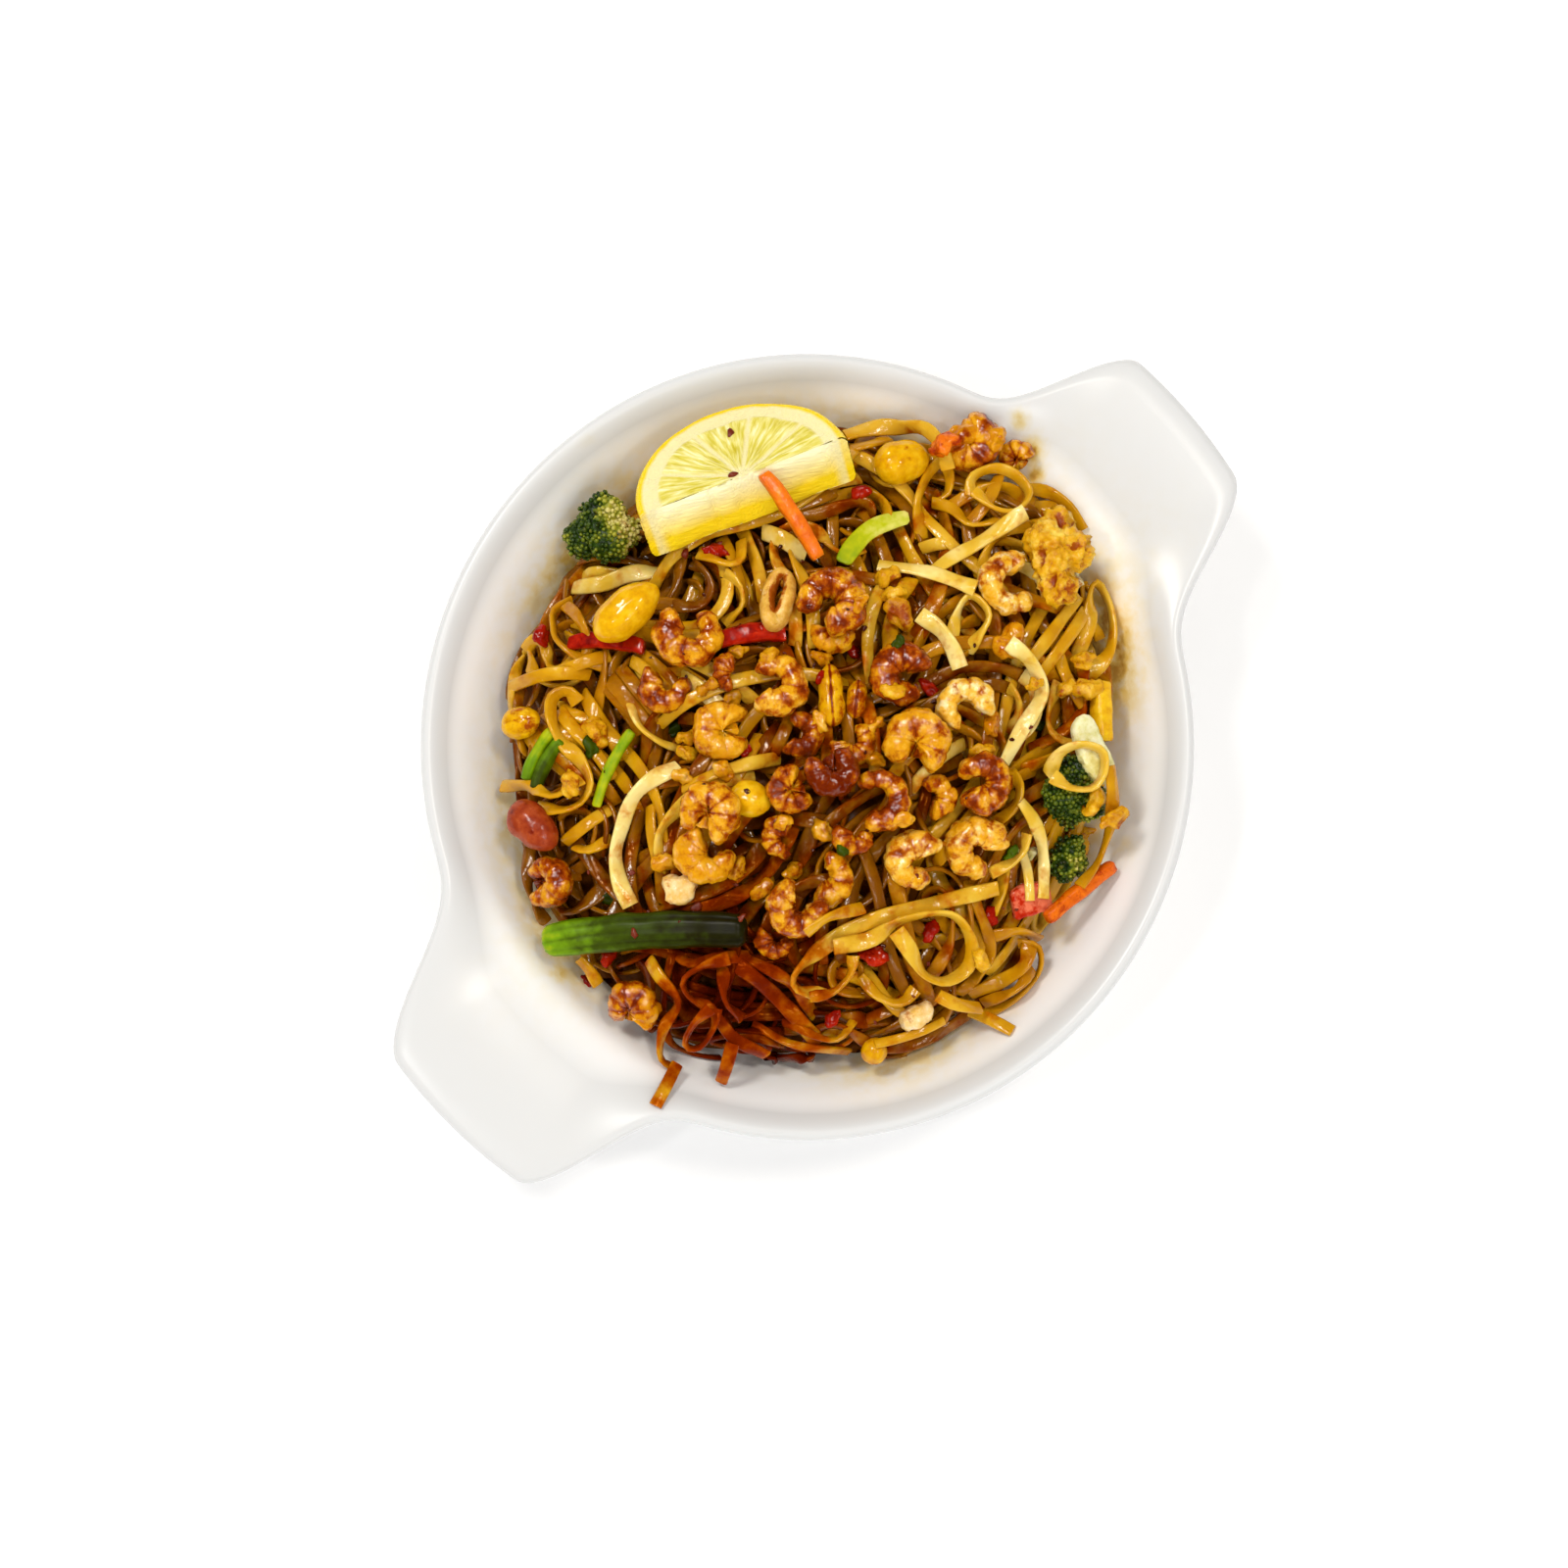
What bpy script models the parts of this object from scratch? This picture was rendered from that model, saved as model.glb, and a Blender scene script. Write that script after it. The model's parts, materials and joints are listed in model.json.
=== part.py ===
# Pad thai in a round white porcelain dish with two ears.
# The noodles are one solid out to their uneven outline; each topping is a solid of its own, settled on it.
# The frame: origin at the bottom centre of the foot ring, +Z up, +X towards the first ear.
# Lengths are millimetres and angles degrees; each finished mesh is scaled to metres.
import math

import bmesh
import bpy
from mathutils import Matrix, Vector, noise
from mathutils.bvhtree import BVHTree

COLLECTION_NAME = "pad_thai_dish"
METRES = 0.001
SHARP_EDGE = 40.0
GAP = 0.3  # between a piece and whatever it rests on

# ---- driving dimensions of the dish ----
DISH_STEPS = 76
EAR_DETAIL = 0.5  # how much of the dish's steps gather at the two ears
# radius, height and the share of the ear's reach, from the middle of the well over the rim to the foot
INSIDE_PROFILE = (
    (0.0, 5.5, 0.0),
    (46.0, 7.0, 0.0),
    (64.0, 12.5, 0.0),
    (76.0, 21.0, 0.0),
    (85.0, 31.5, 0.0),
    (91.5, 40.5, 0.04),
    (95.5, 45.3, 0.42),
    (98.2, 47.3, 0.92),
)
OUTSIDE_PROFILE = (
    (99.8, 46.9, 1.0),
    (100.6, 45.3, 1.0),
    (99.8, 43.4, 0.97),
    (97.0, 40.6, 0.5),
    (93.0, 34.8, 0.05),
    (87.5, 26.5, 0.0),
    (77.0, 15.0, 0.0),
    (62.0, 6.0, 0.0),
    (56.5, 3.4, 0.0),
    (55.5, 0.0, 0.0),
    (49.5, 0.0, 0.0),
    (48.0, 2.4, 0.0),
    (0.0, 2.4, 0.0),
)
# where each ear starts to swell, reaches its tip edge, leaves it and is gone, then how far it reaches
EARS = (
    (-33.5, -12.0, 4.5, 22.5, 30.8),
    (151.5, 174.5, 192.5, 212.0, 32.4),
)
EAR_SWELL = 1.7
EAR_LIFT = 0.8
OVAL_SHARE = 0.012  # the body is a little longer along one heading and shorter across it
OVAL_HEADING = 46.5

# ---- driving dimensions of the noodle heap ----
HEAP_RADIUS = 84.0
HEAP_CROWN = 55.0
HEAP_FALL = 2.4  # how flat the top stays before it falls to the edge
HEAP_ROUND = 0.72
HEAP_CLEARANCE = 1.0
HEAP_SEGMENTS = 42
HEAP_RINGS = 20
HEAP_GATHER = 0.8  # how the rings draw together towards the edge
TUFT_SIZE = 15.0
TUFT_HEIGHT = 4.5
TUFT_FINENESS = 0.45  # size and height of the small tufts over the large ones
# count, size and turn of each wave of the edge
EDGE_WAVES = ((2, 1.4, 40.0), (5, 1.3, 200.0), (9, 1.0, 75.0))
# heading, width in degrees and reach of the places where the edge stands out or falls short
EDGE_REACHES = ((-3.0, 20.0, 5.0), (-80.0, 15.0, -5.0))

# ---- how the toppings lie ----
LEAN_AT_EDGE = 30.0
WALL_LEAN = 25.0  # what lies on the dish's wall tips the other way
NESTLE_STEPS = (1.3, 2.7)  # how far a piece may slip sideways into a gap
NESTLE_TURNS = 12
NESTLE_COST = 0.35  # height that a slip has to win for each millimetre
LIFT_STEP = 0.15

# name, x, y, outer radius, heading of the open side, turn of the curl, thickness as a share of the radius
SHRIMPS = (
    ("shrimp_06", 22, 15, 6.5, 45, 210, 0.44),
    ("shrimp_23", -1, 3, 6.8, 125, 260, 0.42),
    ("shrimp_24", 7, -6, 6.3, 85, 270, 0.42),
    ("shrimp_25", -22, -15, 6.3, 315, 220, 0.44),
    ("shrimp_29", -9, -26, 6.0, 45, 240, 0.44),
    ("shrimp_28", 12, -30, 6.2, 155, 240, 0.44),
    ("shrimp_26", -42, -5, 8.0, 15, 280, 0.44),
    ("shrimp_20", -41, -29, 5.5, 25, 240, 0.44),
    ("shrimp_02", -17, 34, 7.5, 35, 270, 0.44),
    ("shrimp_09", 34, -20, 8.0, 255, 280, 0.38),
    ("shrimp_13", -14, -6, 6.8, 345, 280, 0.46),
    ("shrimp_19", -21, -30, 7.2, 155, 270, 0.44),
    ("shrimp_17", 10, -48, 9.0, 285, 310, 0.44),
    ("shrimp_03", 2, 12, 8.8, 140, 290, 0.40),
    ("shrimp_04", -12, 15, 8.5, 325, 315, 0.47),
    ("shrimp_12", -33, 0, 8.8, 205, 315, 0.47),
    ("shrimp_01", -4, 42, 9.3, 50, 310, 0.40),
    ("shrimp_05", 25, 22, 9.5, 190, 315, 0.42),
    ("shrimp_07", 27, -5, 8.8, 300, 310, 0.44),
    ("shrimp_10", 18, -19, 9.2, 220, 315, 0.47),
    ("shrimp_11", 21, -40, 8.3, 145, 315, 0.44),
    ("shrimp_15", -2, -24, 8.6, 150, 270, 0.34),
    ("shrimp_14", -4, -12, 7.5, 75, 300, 0.46),
    ("shrimp_16", -3, -41, 8.3, 305, 290, 0.44),
    ("shrimp_18", -29, -29, 8.3, 15, 280, 0.44),
    ("shrimp_21", -71, 20, 7.3, 155, 315, 0.47),
    ("shrimp_08", 63, -9, 9.0, 335, 280, 0.32),
    ("shrimp_27", -78, -20, 8.6, 225, 210, 0.47),
    ("shrimp_30", 93, 17, 5.5, 255, 220, 0.44),
    ("shrimp_22", 86, 26, 9.0, 90, 290, 0.44),
)
CURL_POINTS = 9
CURL_FULLNESS = 1.12  # makes up for the flats of a six-sided body
CURL_RISE = 0.25  # head over tail, as a share of the radius
CURL_SHOULDER = 0.3  # where along the curl the body is thickest
CURL_HEAD = 0.8  # thickness at the head, as a share of the thickest
CURL_TAPER = 0.46  # how much of the thickness is gone at the tail
CURL_TAPER_BEND = 1.4
CURL_END = 0.6  # how far the two cut ends are drawn in

# name, x, y, heading, length, width, waist
PEANUTS = (
    ("peanut_large", -13, 52, -5, 20.0, 13.0, 0.04),
    ("peanut_far", 65, 36, -25, 15.0, 12.6, 0.03),
    ("peanut_red_skin", -64, 31, -85, 16.5, 12.0, 0.05),
    ("peanut_bright", -22, -2, -65, 10.5, 9.5, 0.0),
    ("peanut_low", -41, -67, 35, 7.5, 7.0, 0.0),
    ("peanut_left", -48, 53, -35, 11.0, 9.0, 0.02),
    ("peanut_half_long", 11, 3, 50, 16.0, 8.0, 0.10),
    ("peanut_half_small", 15, -2, 40, 10.0, 6.0, 0.06),
)
WAIST_LENGTH = 0.35  # as a share of the half length
PEANUT_FLATNESS = 0.92  # height over width

# name, x, y, size and the balls that make it up, each with its place and radius as shares of that size
LUMPS = (
    ("broccoli_left", 0, 74, 9.5, (
        (0.35, 0.3, 0.2, 0.62),
        (-0.4, 0.3, 0.1, 0.55),
        (0.0, -0.45, 0.15, 0.55),
        (0.0, 0.0, 0.4, 0.5),
        (-0.1, 0.6, -0.1, 0.4),
        (0.5, -0.35, -0.1, 0.4),
    )),
    ("broccoli_right", 39, -54, 9.0, (
        (0.3, 0.4, 0.2, 0.6),
        (-0.35, 0.2, 0.2, 0.6),
        (0.1, -0.45, 0.1, 0.6),
        (0.6, -0.1, -0.1, 0.4),
        (-0.5, -0.4, -0.1, 0.4),
    )),
    ("broccoli_low", 27, -66, 6.2, (
        (0.3, 0.3, 0.1, 0.65),
        (-0.4, 0.0, 0.2, 0.6),
        (0.2, -0.5, 0.0, 0.5),
    )),
    ("egg_cluster", 76, -10, 13.0, (
        (0.5, 0.5, 0.0, 0.38),
        (-0.55, -0.5, 0.05, 0.36),
        (-0.1, 0.35, 0.15, 0.4),
        (0.2, -0.1, 0.2, 0.42),
        (-0.3, -0.1, 0.1, 0.4),
    )),
    ("sauced_chunk", 54, -18, 5.5, (
        (0.5, 0.2, 0.0, 0.55),
        (-0.4, 0.1, 0.1, 0.6),
        (0.0, -0.4, 0.0, 0.5),
    )),
    ("pink_chunk", -50, -5, 5.2, (
        (0.5, 0.3, 0.0, 0.55),
        (-0.4, 0.3, 0.0, 0.5),
        (0.0, -0.4, 0.1, 0.6),
    )),
    ("pale_chunk", -27, -68, 5.6, (
        (0.6, 0.1, 0.0, 0.45),
        (-0.6, -0.1, 0.0, 0.45),
        (0.0, 0.1, 0.1, 0.55),
    )),
)
BIG_LUMP = 9.2  # lumps of at least this size get the finer mesh
LUMP_CORE = 0.45  # radius of the ball in the middle of every lump, as a share of its size

# name, x, y, heading, pitch along the heading, length, width, height, bow sideways
STICKS = (
    ("pepper_under_peanut", -21, 50, -50, 0, 21.0, 4.6, 2.6, 1.5),
    ("pepper_middle", 7, 25, -38, 0, 17.0, 5.0, 3.0, 1.2),
    ("pepper_right", 11, -68, -30, 0, 10.5, 8.5, 3.2, 0.8),
    ("cabbage_piece", 48, -51, 73, 0, 17.0, 7.0, 3.4, 1.0),
    ("yellow_stick", 58.5, -45.5, 47, 0, 15.5, 4.8, 4.8, 0.4),
    ("carrot_right", 23, -74, -8, 0, 23.5, 3.8, 3.4, 0.5),
    ("carrot_on_lemon", 36, 45, -97, -24, 25.0, 3.9, 3.5, 0.6),
    ("olive_stalk", -39, 27, 20, 0, 21.0, 3.2, 2.8, 1.0),
)
STICK_CUTS = 3
STICK_BEVEL = 0.6
STICK_NARROWING = 0.12  # towards both ends
STICK_THINNING = 0.15

# name, x, y, heading, length, width, thickness, bow sideways
LEAVES = (
    ("green_pod", -50, 41, 15, 15.5, 7.5, 5.5, 1.2),
    ("scallion_leaf", 48, 25, -5, 21.0, 4.6, 3.4, 3.0),
    ("spring_onion", -62, -8, -39, 56.0, 10.4, 7.6, 1.8),
)
LEAF_POINTS = 9
LEAF_NARROWING = 0.45  # towards both ends

LEMON_RADIUS = 28.0
LEMON_THICKNESS = 15.0
LEMON_SEGMENTS = 36
LEMON_BEVEL = 1.6
LEMON = {"at": (35, 62), "heading": -22, "lean": 36}

SQUID_RING = {"at": (18, 30), "heading": 35, "long": 9.6, "short": 4.6, "tube": 1.7, "lean": 12}
RING_SEGMENTS = 16
RING_DEPTH = 1.6  # height of the ring's wall over its thickness

# colour, roughness
FINISHES = {
    "porcelain": ((0.90, 0.89, 0.87), 0.10),
    "noodles": ((0.62, 0.36, 0.08), 0.35),
    "shrimp": ((0.72, 0.38, 0.07), 0.30),
    "peanut": ((0.80, 0.52, 0.10), 0.35),
    "red_skin": ((0.36, 0.09, 0.03), 0.40),
    "lemon": ((0.85, 0.80, 0.25), 0.35),
    "broccoli": ((0.07, 0.13, 0.03), 0.60),
    "egg": ((0.75, 0.50, 0.12), 0.50),
    "pale_food": ((0.80, 0.62, 0.38), 0.45),
    "pepper": ((0.55, 0.03, 0.02), 0.30),
    "carrot": ((0.85, 0.28, 0.03), 0.40),
    "yellow_veg": ((0.85, 0.55, 0.05), 0.40),
    "cabbage": ((0.85, 0.82, 0.62), 0.45),
    "scallion": ((0.18, 0.35, 0.04), 0.35),
    "olive": ((0.33, 0.36, 0.06), 0.40),
}


def clear_scene():
    for old in list(bpy.data.objects):
        bpy.data.objects.remove(old, do_unlink=True)


def make_collection():
    collection = bpy.data.collections.new(COLLECTION_NAME)
    bpy.context.scene.collection.children.link(collection)
    return collection


def make_finish(name):
    colour, roughness = FINISHES[name]
    material = bpy.data.materials.new(name)
    material.use_nodes = True
    shader = material.node_tree.nodes["Principled BSDF"]
    shader.inputs["Base Color"].default_value = (*colour, 1.0)
    shader.inputs["Roughness"].default_value = roughness
    shader.inputs["Metallic"].default_value = 0.0
    return material


def add_object(name, body, finish):
    """Turns a bmesh in millimetres into a named object in metres."""
    bmesh.ops.recalc_face_normals(body, faces=body.faces)
    mesh = bpy.data.meshes.new(name)
    body.to_mesh(mesh)
    body.free()
    mesh.transform(Matrix.Scale(METRES, 4))
    mesh.materials.append(make_finish(finish))
    mesh.shade_smooth()
    mesh.set_sharp_from_angle(angle=math.radians(SHARP_EDGE))
    part = bpy.data.objects.new(name, mesh)
    bpy.data.collections[COLLECTION_NAME].objects.link(part)
    return part


def smooth_step(value):
    value = min(max(value, 0.0), 1.0)
    return value * value * (3.0 - 2.0 * value)


# ---- the dish ----
def ear_reach(angle):
    """How far the rim is drawn out at this angle, in millimetres."""
    for begin, tip_begin, tip_end, end, reach in EARS:
        turn = begin + (angle - begin) % 360.0
        if turn < tip_begin:
            return reach * smooth_step(((turn - begin) / (tip_begin - begin)) ** EAR_SWELL)
        if turn <= tip_end:
            return reach
        if turn < end:
            return reach * smooth_step(((end - turn) / (end - tip_end)) ** EAR_SWELL)
    return 0.0


def make_oval(body):
    """Stretches a body a little along the oval's heading and squeezes it across."""
    turn = Matrix.Rotation(math.radians(OVAL_HEADING), 4, "Z")
    stretch = Matrix.Diagonal((1.0 + OVAL_SHARE, 1.0 - OVAL_SHARE, 1.0, 1.0))
    bmesh.ops.transform(body, matrix=turn @ stretch @ turn.inverted(), verts=body.verts)


def build_dish():
    profile = INSIDE_PROFILE + OUTSIDE_PROFILE
    body = bmesh.new()
    corners = [body.verts.new((radius, 0.0, height)) for radius, height, share in profile]
    sides = [body.edges.new(pair) for pair in zip(corners, corners[1:])]
    bmesh.ops.spin(
        body, geom=corners + sides, axis=(0, 0, 1), cent=(0, 0, 0),
        angle=math.tau, steps=DISH_STEPS, use_merge=True,
    )
    bmesh.ops.remove_doubles(body, verts=body.verts, dist=0.001)
    for corner in body.verts:
        radius = math.hypot(corner.co.x, corner.co.y)
        height = corner.co.z
        share = min(profile, key=lambda p: math.hypot(p[0] - radius, p[1] - height))[2]
        turn = math.atan2(corner.co.y, corner.co.x)
        turn -= EAR_DETAIL * math.sin(2.0 * turn) / 2.0
        reach = ear_reach(math.degrees(turn))
        radius += share * reach
        corner.co.x = radius * math.cos(turn)
        corner.co.y = radius * math.sin(turn)
        corner.co.z = height + EAR_LIFT * share * reach / EARS[0][4]
    make_oval(body)
    return body


# ---- the noodle heap ----
def well_height(radius):
    """Height of the dish's inner surface at this radius."""
    for (near, low, _), (far, high, _) in zip(INSIDE_PROFILE, INSIDE_PROFILE[1:]):
        if radius <= far:
            return low + (high - low) * (radius - near) / (far - near)
    return INSIDE_PROFILE[-1][1]


def heap_edge(turn):
    """Radius of the heap's edge in the direction of this angle in radians."""
    waves = sum(size * math.sin(count * turn + math.radians(phase)) for count, size, phase in EDGE_WAVES)
    radius = HEAP_RADIUS + waves
    for heading, width, reach in EDGE_REACHES:
        away = (math.degrees(turn) - heading + 180.0) % 360.0 - 180.0
        radius += reach * math.exp(-((away / width) ** 2))
    return radius


def heap_top(radius, turn):
    """Height of the heap's uneven top."""
    edge = heap_edge(turn)
    share = min(radius / edge, 1.0)
    low = well_height(edge) + HEAP_CLEARANCE
    dome = low + (HEAP_CROWN - low) * (1.0 - share ** HEAP_FALL) ** HEAP_ROUND
    place = Vector((radius * math.cos(turn), radius * math.sin(turn), 0.0))
    coarse = noise.noise(place / TUFT_SIZE)
    fine = noise.noise(place / (TUFT_SIZE * TUFT_FINENESS) + Vector((7.0, 3.0, 0.0)))
    fade = 1.0 - share ** 6
    return dome + fade * TUFT_HEIGHT * (coarse + TUFT_FINENESS * fine)


def build_heap():
    body = bmesh.new()
    bmesh.ops.create_uvsphere(body, u_segments=HEAP_SEGMENTS, v_segments=HEAP_RINGS, radius=1.0)
    for corner in body.verts:
        turn = math.atan2(corner.co.y, corner.co.x)
        fall = math.acos(min(max(corner.co.z, -1.0), 1.0)) / (math.pi / 2.0)
        if fall <= 1.0001:
            radius = heap_edge(turn) * fall ** HEAP_GATHER
            height = heap_top(radius, turn)
        else:
            radius = heap_edge(turn) * (2.0 - fall)
            height = well_height(radius) + HEAP_CLEARANCE
        corner.co = Vector((radius * math.cos(turn), radius * math.sin(turn), height))
    make_oval(body)
    return body


# ---- the toppings, each made round its own middle ----
def tube_body(points, radii, resolution, closed=False):
    """A tube through the points, made as a bevelled curve and welded at its caps."""
    curve = bpy.data.curves.new("tube", "CURVE")
    curve.dimensions = "3D"
    curve.bevel_depth = 1.0
    curve.bevel_resolution = resolution
    curve.use_fill_caps = True
    spline = curve.splines.new("POLY")
    spline.points.add(len(points) - 1)
    for knot, point, radius in zip(spline.points, points, radii):
        knot.co = (*point, 1.0)
        knot.radius = radius
    spline.use_cyclic_u = closed
    holder = bpy.data.objects.new("tube", curve)
    bpy.data.collections[COLLECTION_NAME].objects.link(holder)
    shape = holder.evaluated_get(bpy.context.evaluated_depsgraph_get())
    mesh = bpy.data.meshes.new_from_object(shape)
    body = bmesh.new()
    body.from_mesh(mesh)
    bmesh.ops.remove_doubles(body, verts=body.verts, dist=0.001)
    bpy.data.objects.remove(holder, do_unlink=True)
    bpy.data.curves.remove(curve)
    bpy.data.meshes.remove(mesh)
    return body


def curl_body(size, turn, thickness):
    """A peeled shrimp, curled round: thick behind the head, thin at the tail."""
    thick = size * CURL_FULLNESS * thickness
    round_radius = size * CURL_FULLNESS - thick
    points, radii = [], []
    for step in range(CURL_POINTS):
        share = step / (CURL_POINTS - 1)
        angle = math.radians(180.0 - turn / 2.0 + turn * share)
        points.append(Vector((
            round_radius * math.cos(angle),
            round_radius * math.sin(angle),
            size * CURL_RISE * (0.5 - share),
        )))
        if share < CURL_SHOULDER:
            swell = math.sin(math.pi / 2.0 * share / CURL_SHOULDER)
            plump = CURL_HEAD + (1.0 - CURL_HEAD) * swell
        else:
            fall = (share - CURL_SHOULDER) / (1.0 - CURL_SHOULDER)
            plump = 1.0 - CURL_TAPER * fall ** CURL_TAPER_BEND
        radii.append(thick * plump)
    radii[0] *= CURL_END
    radii[-1] *= CURL_END
    return tube_body(points, radii, 1)


def bean_body(length, width, waist):
    body = bmesh.new()
    bmesh.ops.create_icosphere(body, subdivisions=2, radius=1.0)
    for corner in body.verts:
        pinch = 1.0 - waist * 2.0 * math.exp(-(corner.co.x / WAIST_LENGTH) ** 2)
        corner.co = Vector((
            corner.co.x * length / 2.0,
            corner.co.y * width / 2.0 * pinch,
            corner.co.z * width / 2.0 * PEANUT_FLATNESS * pinch,
        ))
    return body


def lump_body(size, balls):
    """The outer form of a few balls grown together, as seen from their middle."""
    body = bmesh.new()
    bmesh.ops.create_icosphere(body, subdivisions=3 if size >= BIG_LUMP else 2, radius=1.0)
    for corner in body.verts:
        ray = corner.co.normalized()
        reach = LUMP_CORE
        for x, y, z, radius in balls:
            middle = Vector((x, y, z))
            along = ray.dot(middle)
            inside = along * along - middle.length_squared + radius * radius
            if inside > 0.0:
                reach = max(reach, along + math.sqrt(inside))
        corner.co = ray * reach * size
    return body


def stick_body(length, width, height, bow):
    body = bmesh.new()
    bmesh.ops.create_cube(body, size=1.0)
    bmesh.ops.scale(body, verts=body.verts, vec=(length, width, height))
    long_edges = [e for e in body.edges if abs(e.verts[0].co.x - e.verts[1].co.x) > length / 2.0]
    bmesh.ops.subdivide_edges(body, edges=long_edges, cuts=STICK_CUTS, use_grid_fill=True)
    for corner in body.verts:
        share = 2.0 * corner.co.x / length
        corner.co.y += bow * (1.0 - share * share)
        corner.co.y *= 1.0 - STICK_NARROWING * abs(share)
        corner.co.z *= 1.0 - STICK_THINNING * share * share
    ridges = [e for e in body.edges if e.calc_face_angle(0.0) > math.radians(60)]
    bmesh.ops.bevel(
        body, geom=ridges, offset=STICK_BEVEL, segments=1, profile=0.5, affect="EDGES", material=-1,
    )
    return body


def leaf_body(length, width, thickness, bow):
    """A flattened tube, bowed sideways and rounded off at both ends."""
    points, radii = [], []
    for step in range(LEAF_POINTS):
        share = 2.0 * step / (LEAF_POINTS - 1) - 1.0
        points.append(Vector((share * length / 2.0, bow * (1.0 - share * share), 0.0)))
        radii.append(width / 2.0 * (1.0 - LEAF_NARROWING * share ** 6))
    body = tube_body(points, radii, 2)
    bmesh.ops.scale(body, verts=body.verts, vec=(1.0, 1.0, thickness / width))
    return body


def lemon_body():
    """Half of a thick round slice, its peel edges eased; the straight cut lies along X."""
    body = bmesh.new()
    bmesh.ops.create_cone(
        body, cap_ends=True, cap_tris=False, segments=LEMON_SEGMENTS,
        radius1=LEMON_RADIUS, radius2=LEMON_RADIUS, depth=LEMON_THICKNESS,
    )
    rims = [e for e in body.edges if abs(e.verts[0].co.z - e.verts[1].co.z) < 0.001]
    bmesh.ops.bevel(
        body, geom=rims, offset=LEMON_BEVEL, segments=1, profile=0.5, affect="EDGES", material=-1,
    )
    cut = bmesh.ops.bisect_plane(
        body, geom=body.verts[:] + body.edges[:] + body.faces[:],
        plane_co=(0, 0, 0), plane_no=(0, 1, 0), clear_inner=True,
    )["geom_cut"]
    bmesh.ops.contextual_create(body, geom=[e for e in cut if isinstance(e, bmesh.types.BMEdge)])
    bmesh.ops.translate(body, verts=body.verts, vec=(0, -LEMON_RADIUS / 2.0, 0))
    return body


def ring_body(long_side, short_side, tube):
    """A cut ring standing up on edge, its opening seen from above."""
    points = []
    for step in range(RING_SEGMENTS):
        angle = math.tau * step / RING_SEGMENTS
        across = (long_side - tube) * math.cos(angle)
        aside = (short_side - tube) * math.sin(angle)
        points.append(Vector((across, aside, 0.0)))
    body = tube_body(points, [tube] * RING_SEGMENTS, 1, closed=True)
    bmesh.ops.scale(body, verts=body.verts, vec=(1.0, 1.0, RING_DEPTH))
    return body


# ---- settling a topping on the pieces below it ----
class Pile:
    """What lies in the dish so far: its surface as one search tree, and its corners."""

    def __init__(self):
        self.corners = []
        self.faces = []
        self.tree = None

    def add(self, body):
        bmesh.ops.triangulate(body, faces=body.faces)
        start = len(self.corners)
        body.verts.index_update()
        self.corners += [corner.co.copy() for corner in body.verts]
        self.faces += [[start + corner.index for corner in face.verts] for face in body.faces]
        self.tree = BVHTree.FromPolygons(self.corners, self.faces)

    def rest_height(self, body):
        """How far the body has to rise from where it is to just touch the pile from above."""
        down, up = Vector((0, 0, -1)), Vector((0, 0, 1))
        tree = BVHTree.FromBMesh(body)
        rise = -1000.0
        for corner in body.verts:
            hit = self.tree.ray_cast(Vector((corner.co.x, corner.co.y, 500.0)), down)[0]
            if hit is not None:
                rise = max(rise, hit.z - corner.co.z)
        low_x = min(corner.co.x for corner in body.verts)
        high_x = max(corner.co.x for corner in body.verts)
        low_y = min(corner.co.y for corner in body.verts)
        high_y = max(corner.co.y for corner in body.verts)
        for corner in self.corners:
            if low_x < corner.x < high_x and low_y < corner.y < high_y:
                hit = tree.ray_cast(Vector((corner.x, corner.y, -500.0)), up)[0]
                if hit is not None:
                    rise = max(rise, corner.z - hit.z)
        return rise

    def settle(self, body):
        """Lowers the body to the lowest rest within a small step to any side, clear of the pile."""
        steps = [Vector((0, 0, 0))]
        for reach in NESTLE_STEPS:
            for turn in range(NESTLE_TURNS):
                angle = math.tau * turn / NESTLE_TURNS
                steps.append(Vector((reach * math.cos(angle), reach * math.sin(angle), 0)))
        rests = []
        for step in steps:
            bmesh.ops.translate(body, verts=body.verts, vec=step)
            rests.append(self.rest_height(body))
            bmesh.ops.translate(body, verts=body.verts, vec=-step)
        best = min(range(len(steps)), key=lambda index: rests[index] + NESTLE_COST * steps[index].length)
        bmesh.ops.translate(body, verts=body.verts, vec=steps[best] + Vector((0, 0, rests[best])))
        while BVHTree.FromBMesh(body).overlap(self.tree):
            bmesh.ops.translate(body, verts=body.verts, vec=(0, 0, LIFT_STEP))
        bmesh.ops.translate(body, verts=body.verts, vec=(0, 0, GAP))


def dome_lean(x, y):
    """How far a piece tips outwards with the heap's slope at this place, or inwards on the wall."""
    share = math.hypot(x, y) / HEAP_RADIUS
    return LEAN_AT_EDGE * share ** 1.5 if share <= 1.0 else -WALL_LEAN


def place(pile, name, body, finish, x, y, heading, pitch=0.0, lean=None, lean_heading=None):
    """Turns the body to its heading, tips it outwards, sets it over its place and settles it."""
    if lean is None:
        lean = dome_lean(x, y)
    if lean_heading is None:
        lean_heading = math.degrees(math.atan2(y, x))
    tip_axis = Vector((-math.sin(math.radians(lean_heading)), math.cos(math.radians(lean_heading)), 0))
    turn = (
        Matrix.Translation((x, y, 0))
        @ Matrix.Rotation(math.radians(lean), 4, tip_axis)
        @ Matrix.Rotation(math.radians(heading), 4, "Z")
        @ Matrix.Rotation(math.radians(-pitch), 4, "Y")
    )
    bmesh.ops.transform(body, matrix=turn, verts=body.verts)
    pile.settle(body)
    pile.add(body)
    return add_object(name, body, finish)


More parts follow.
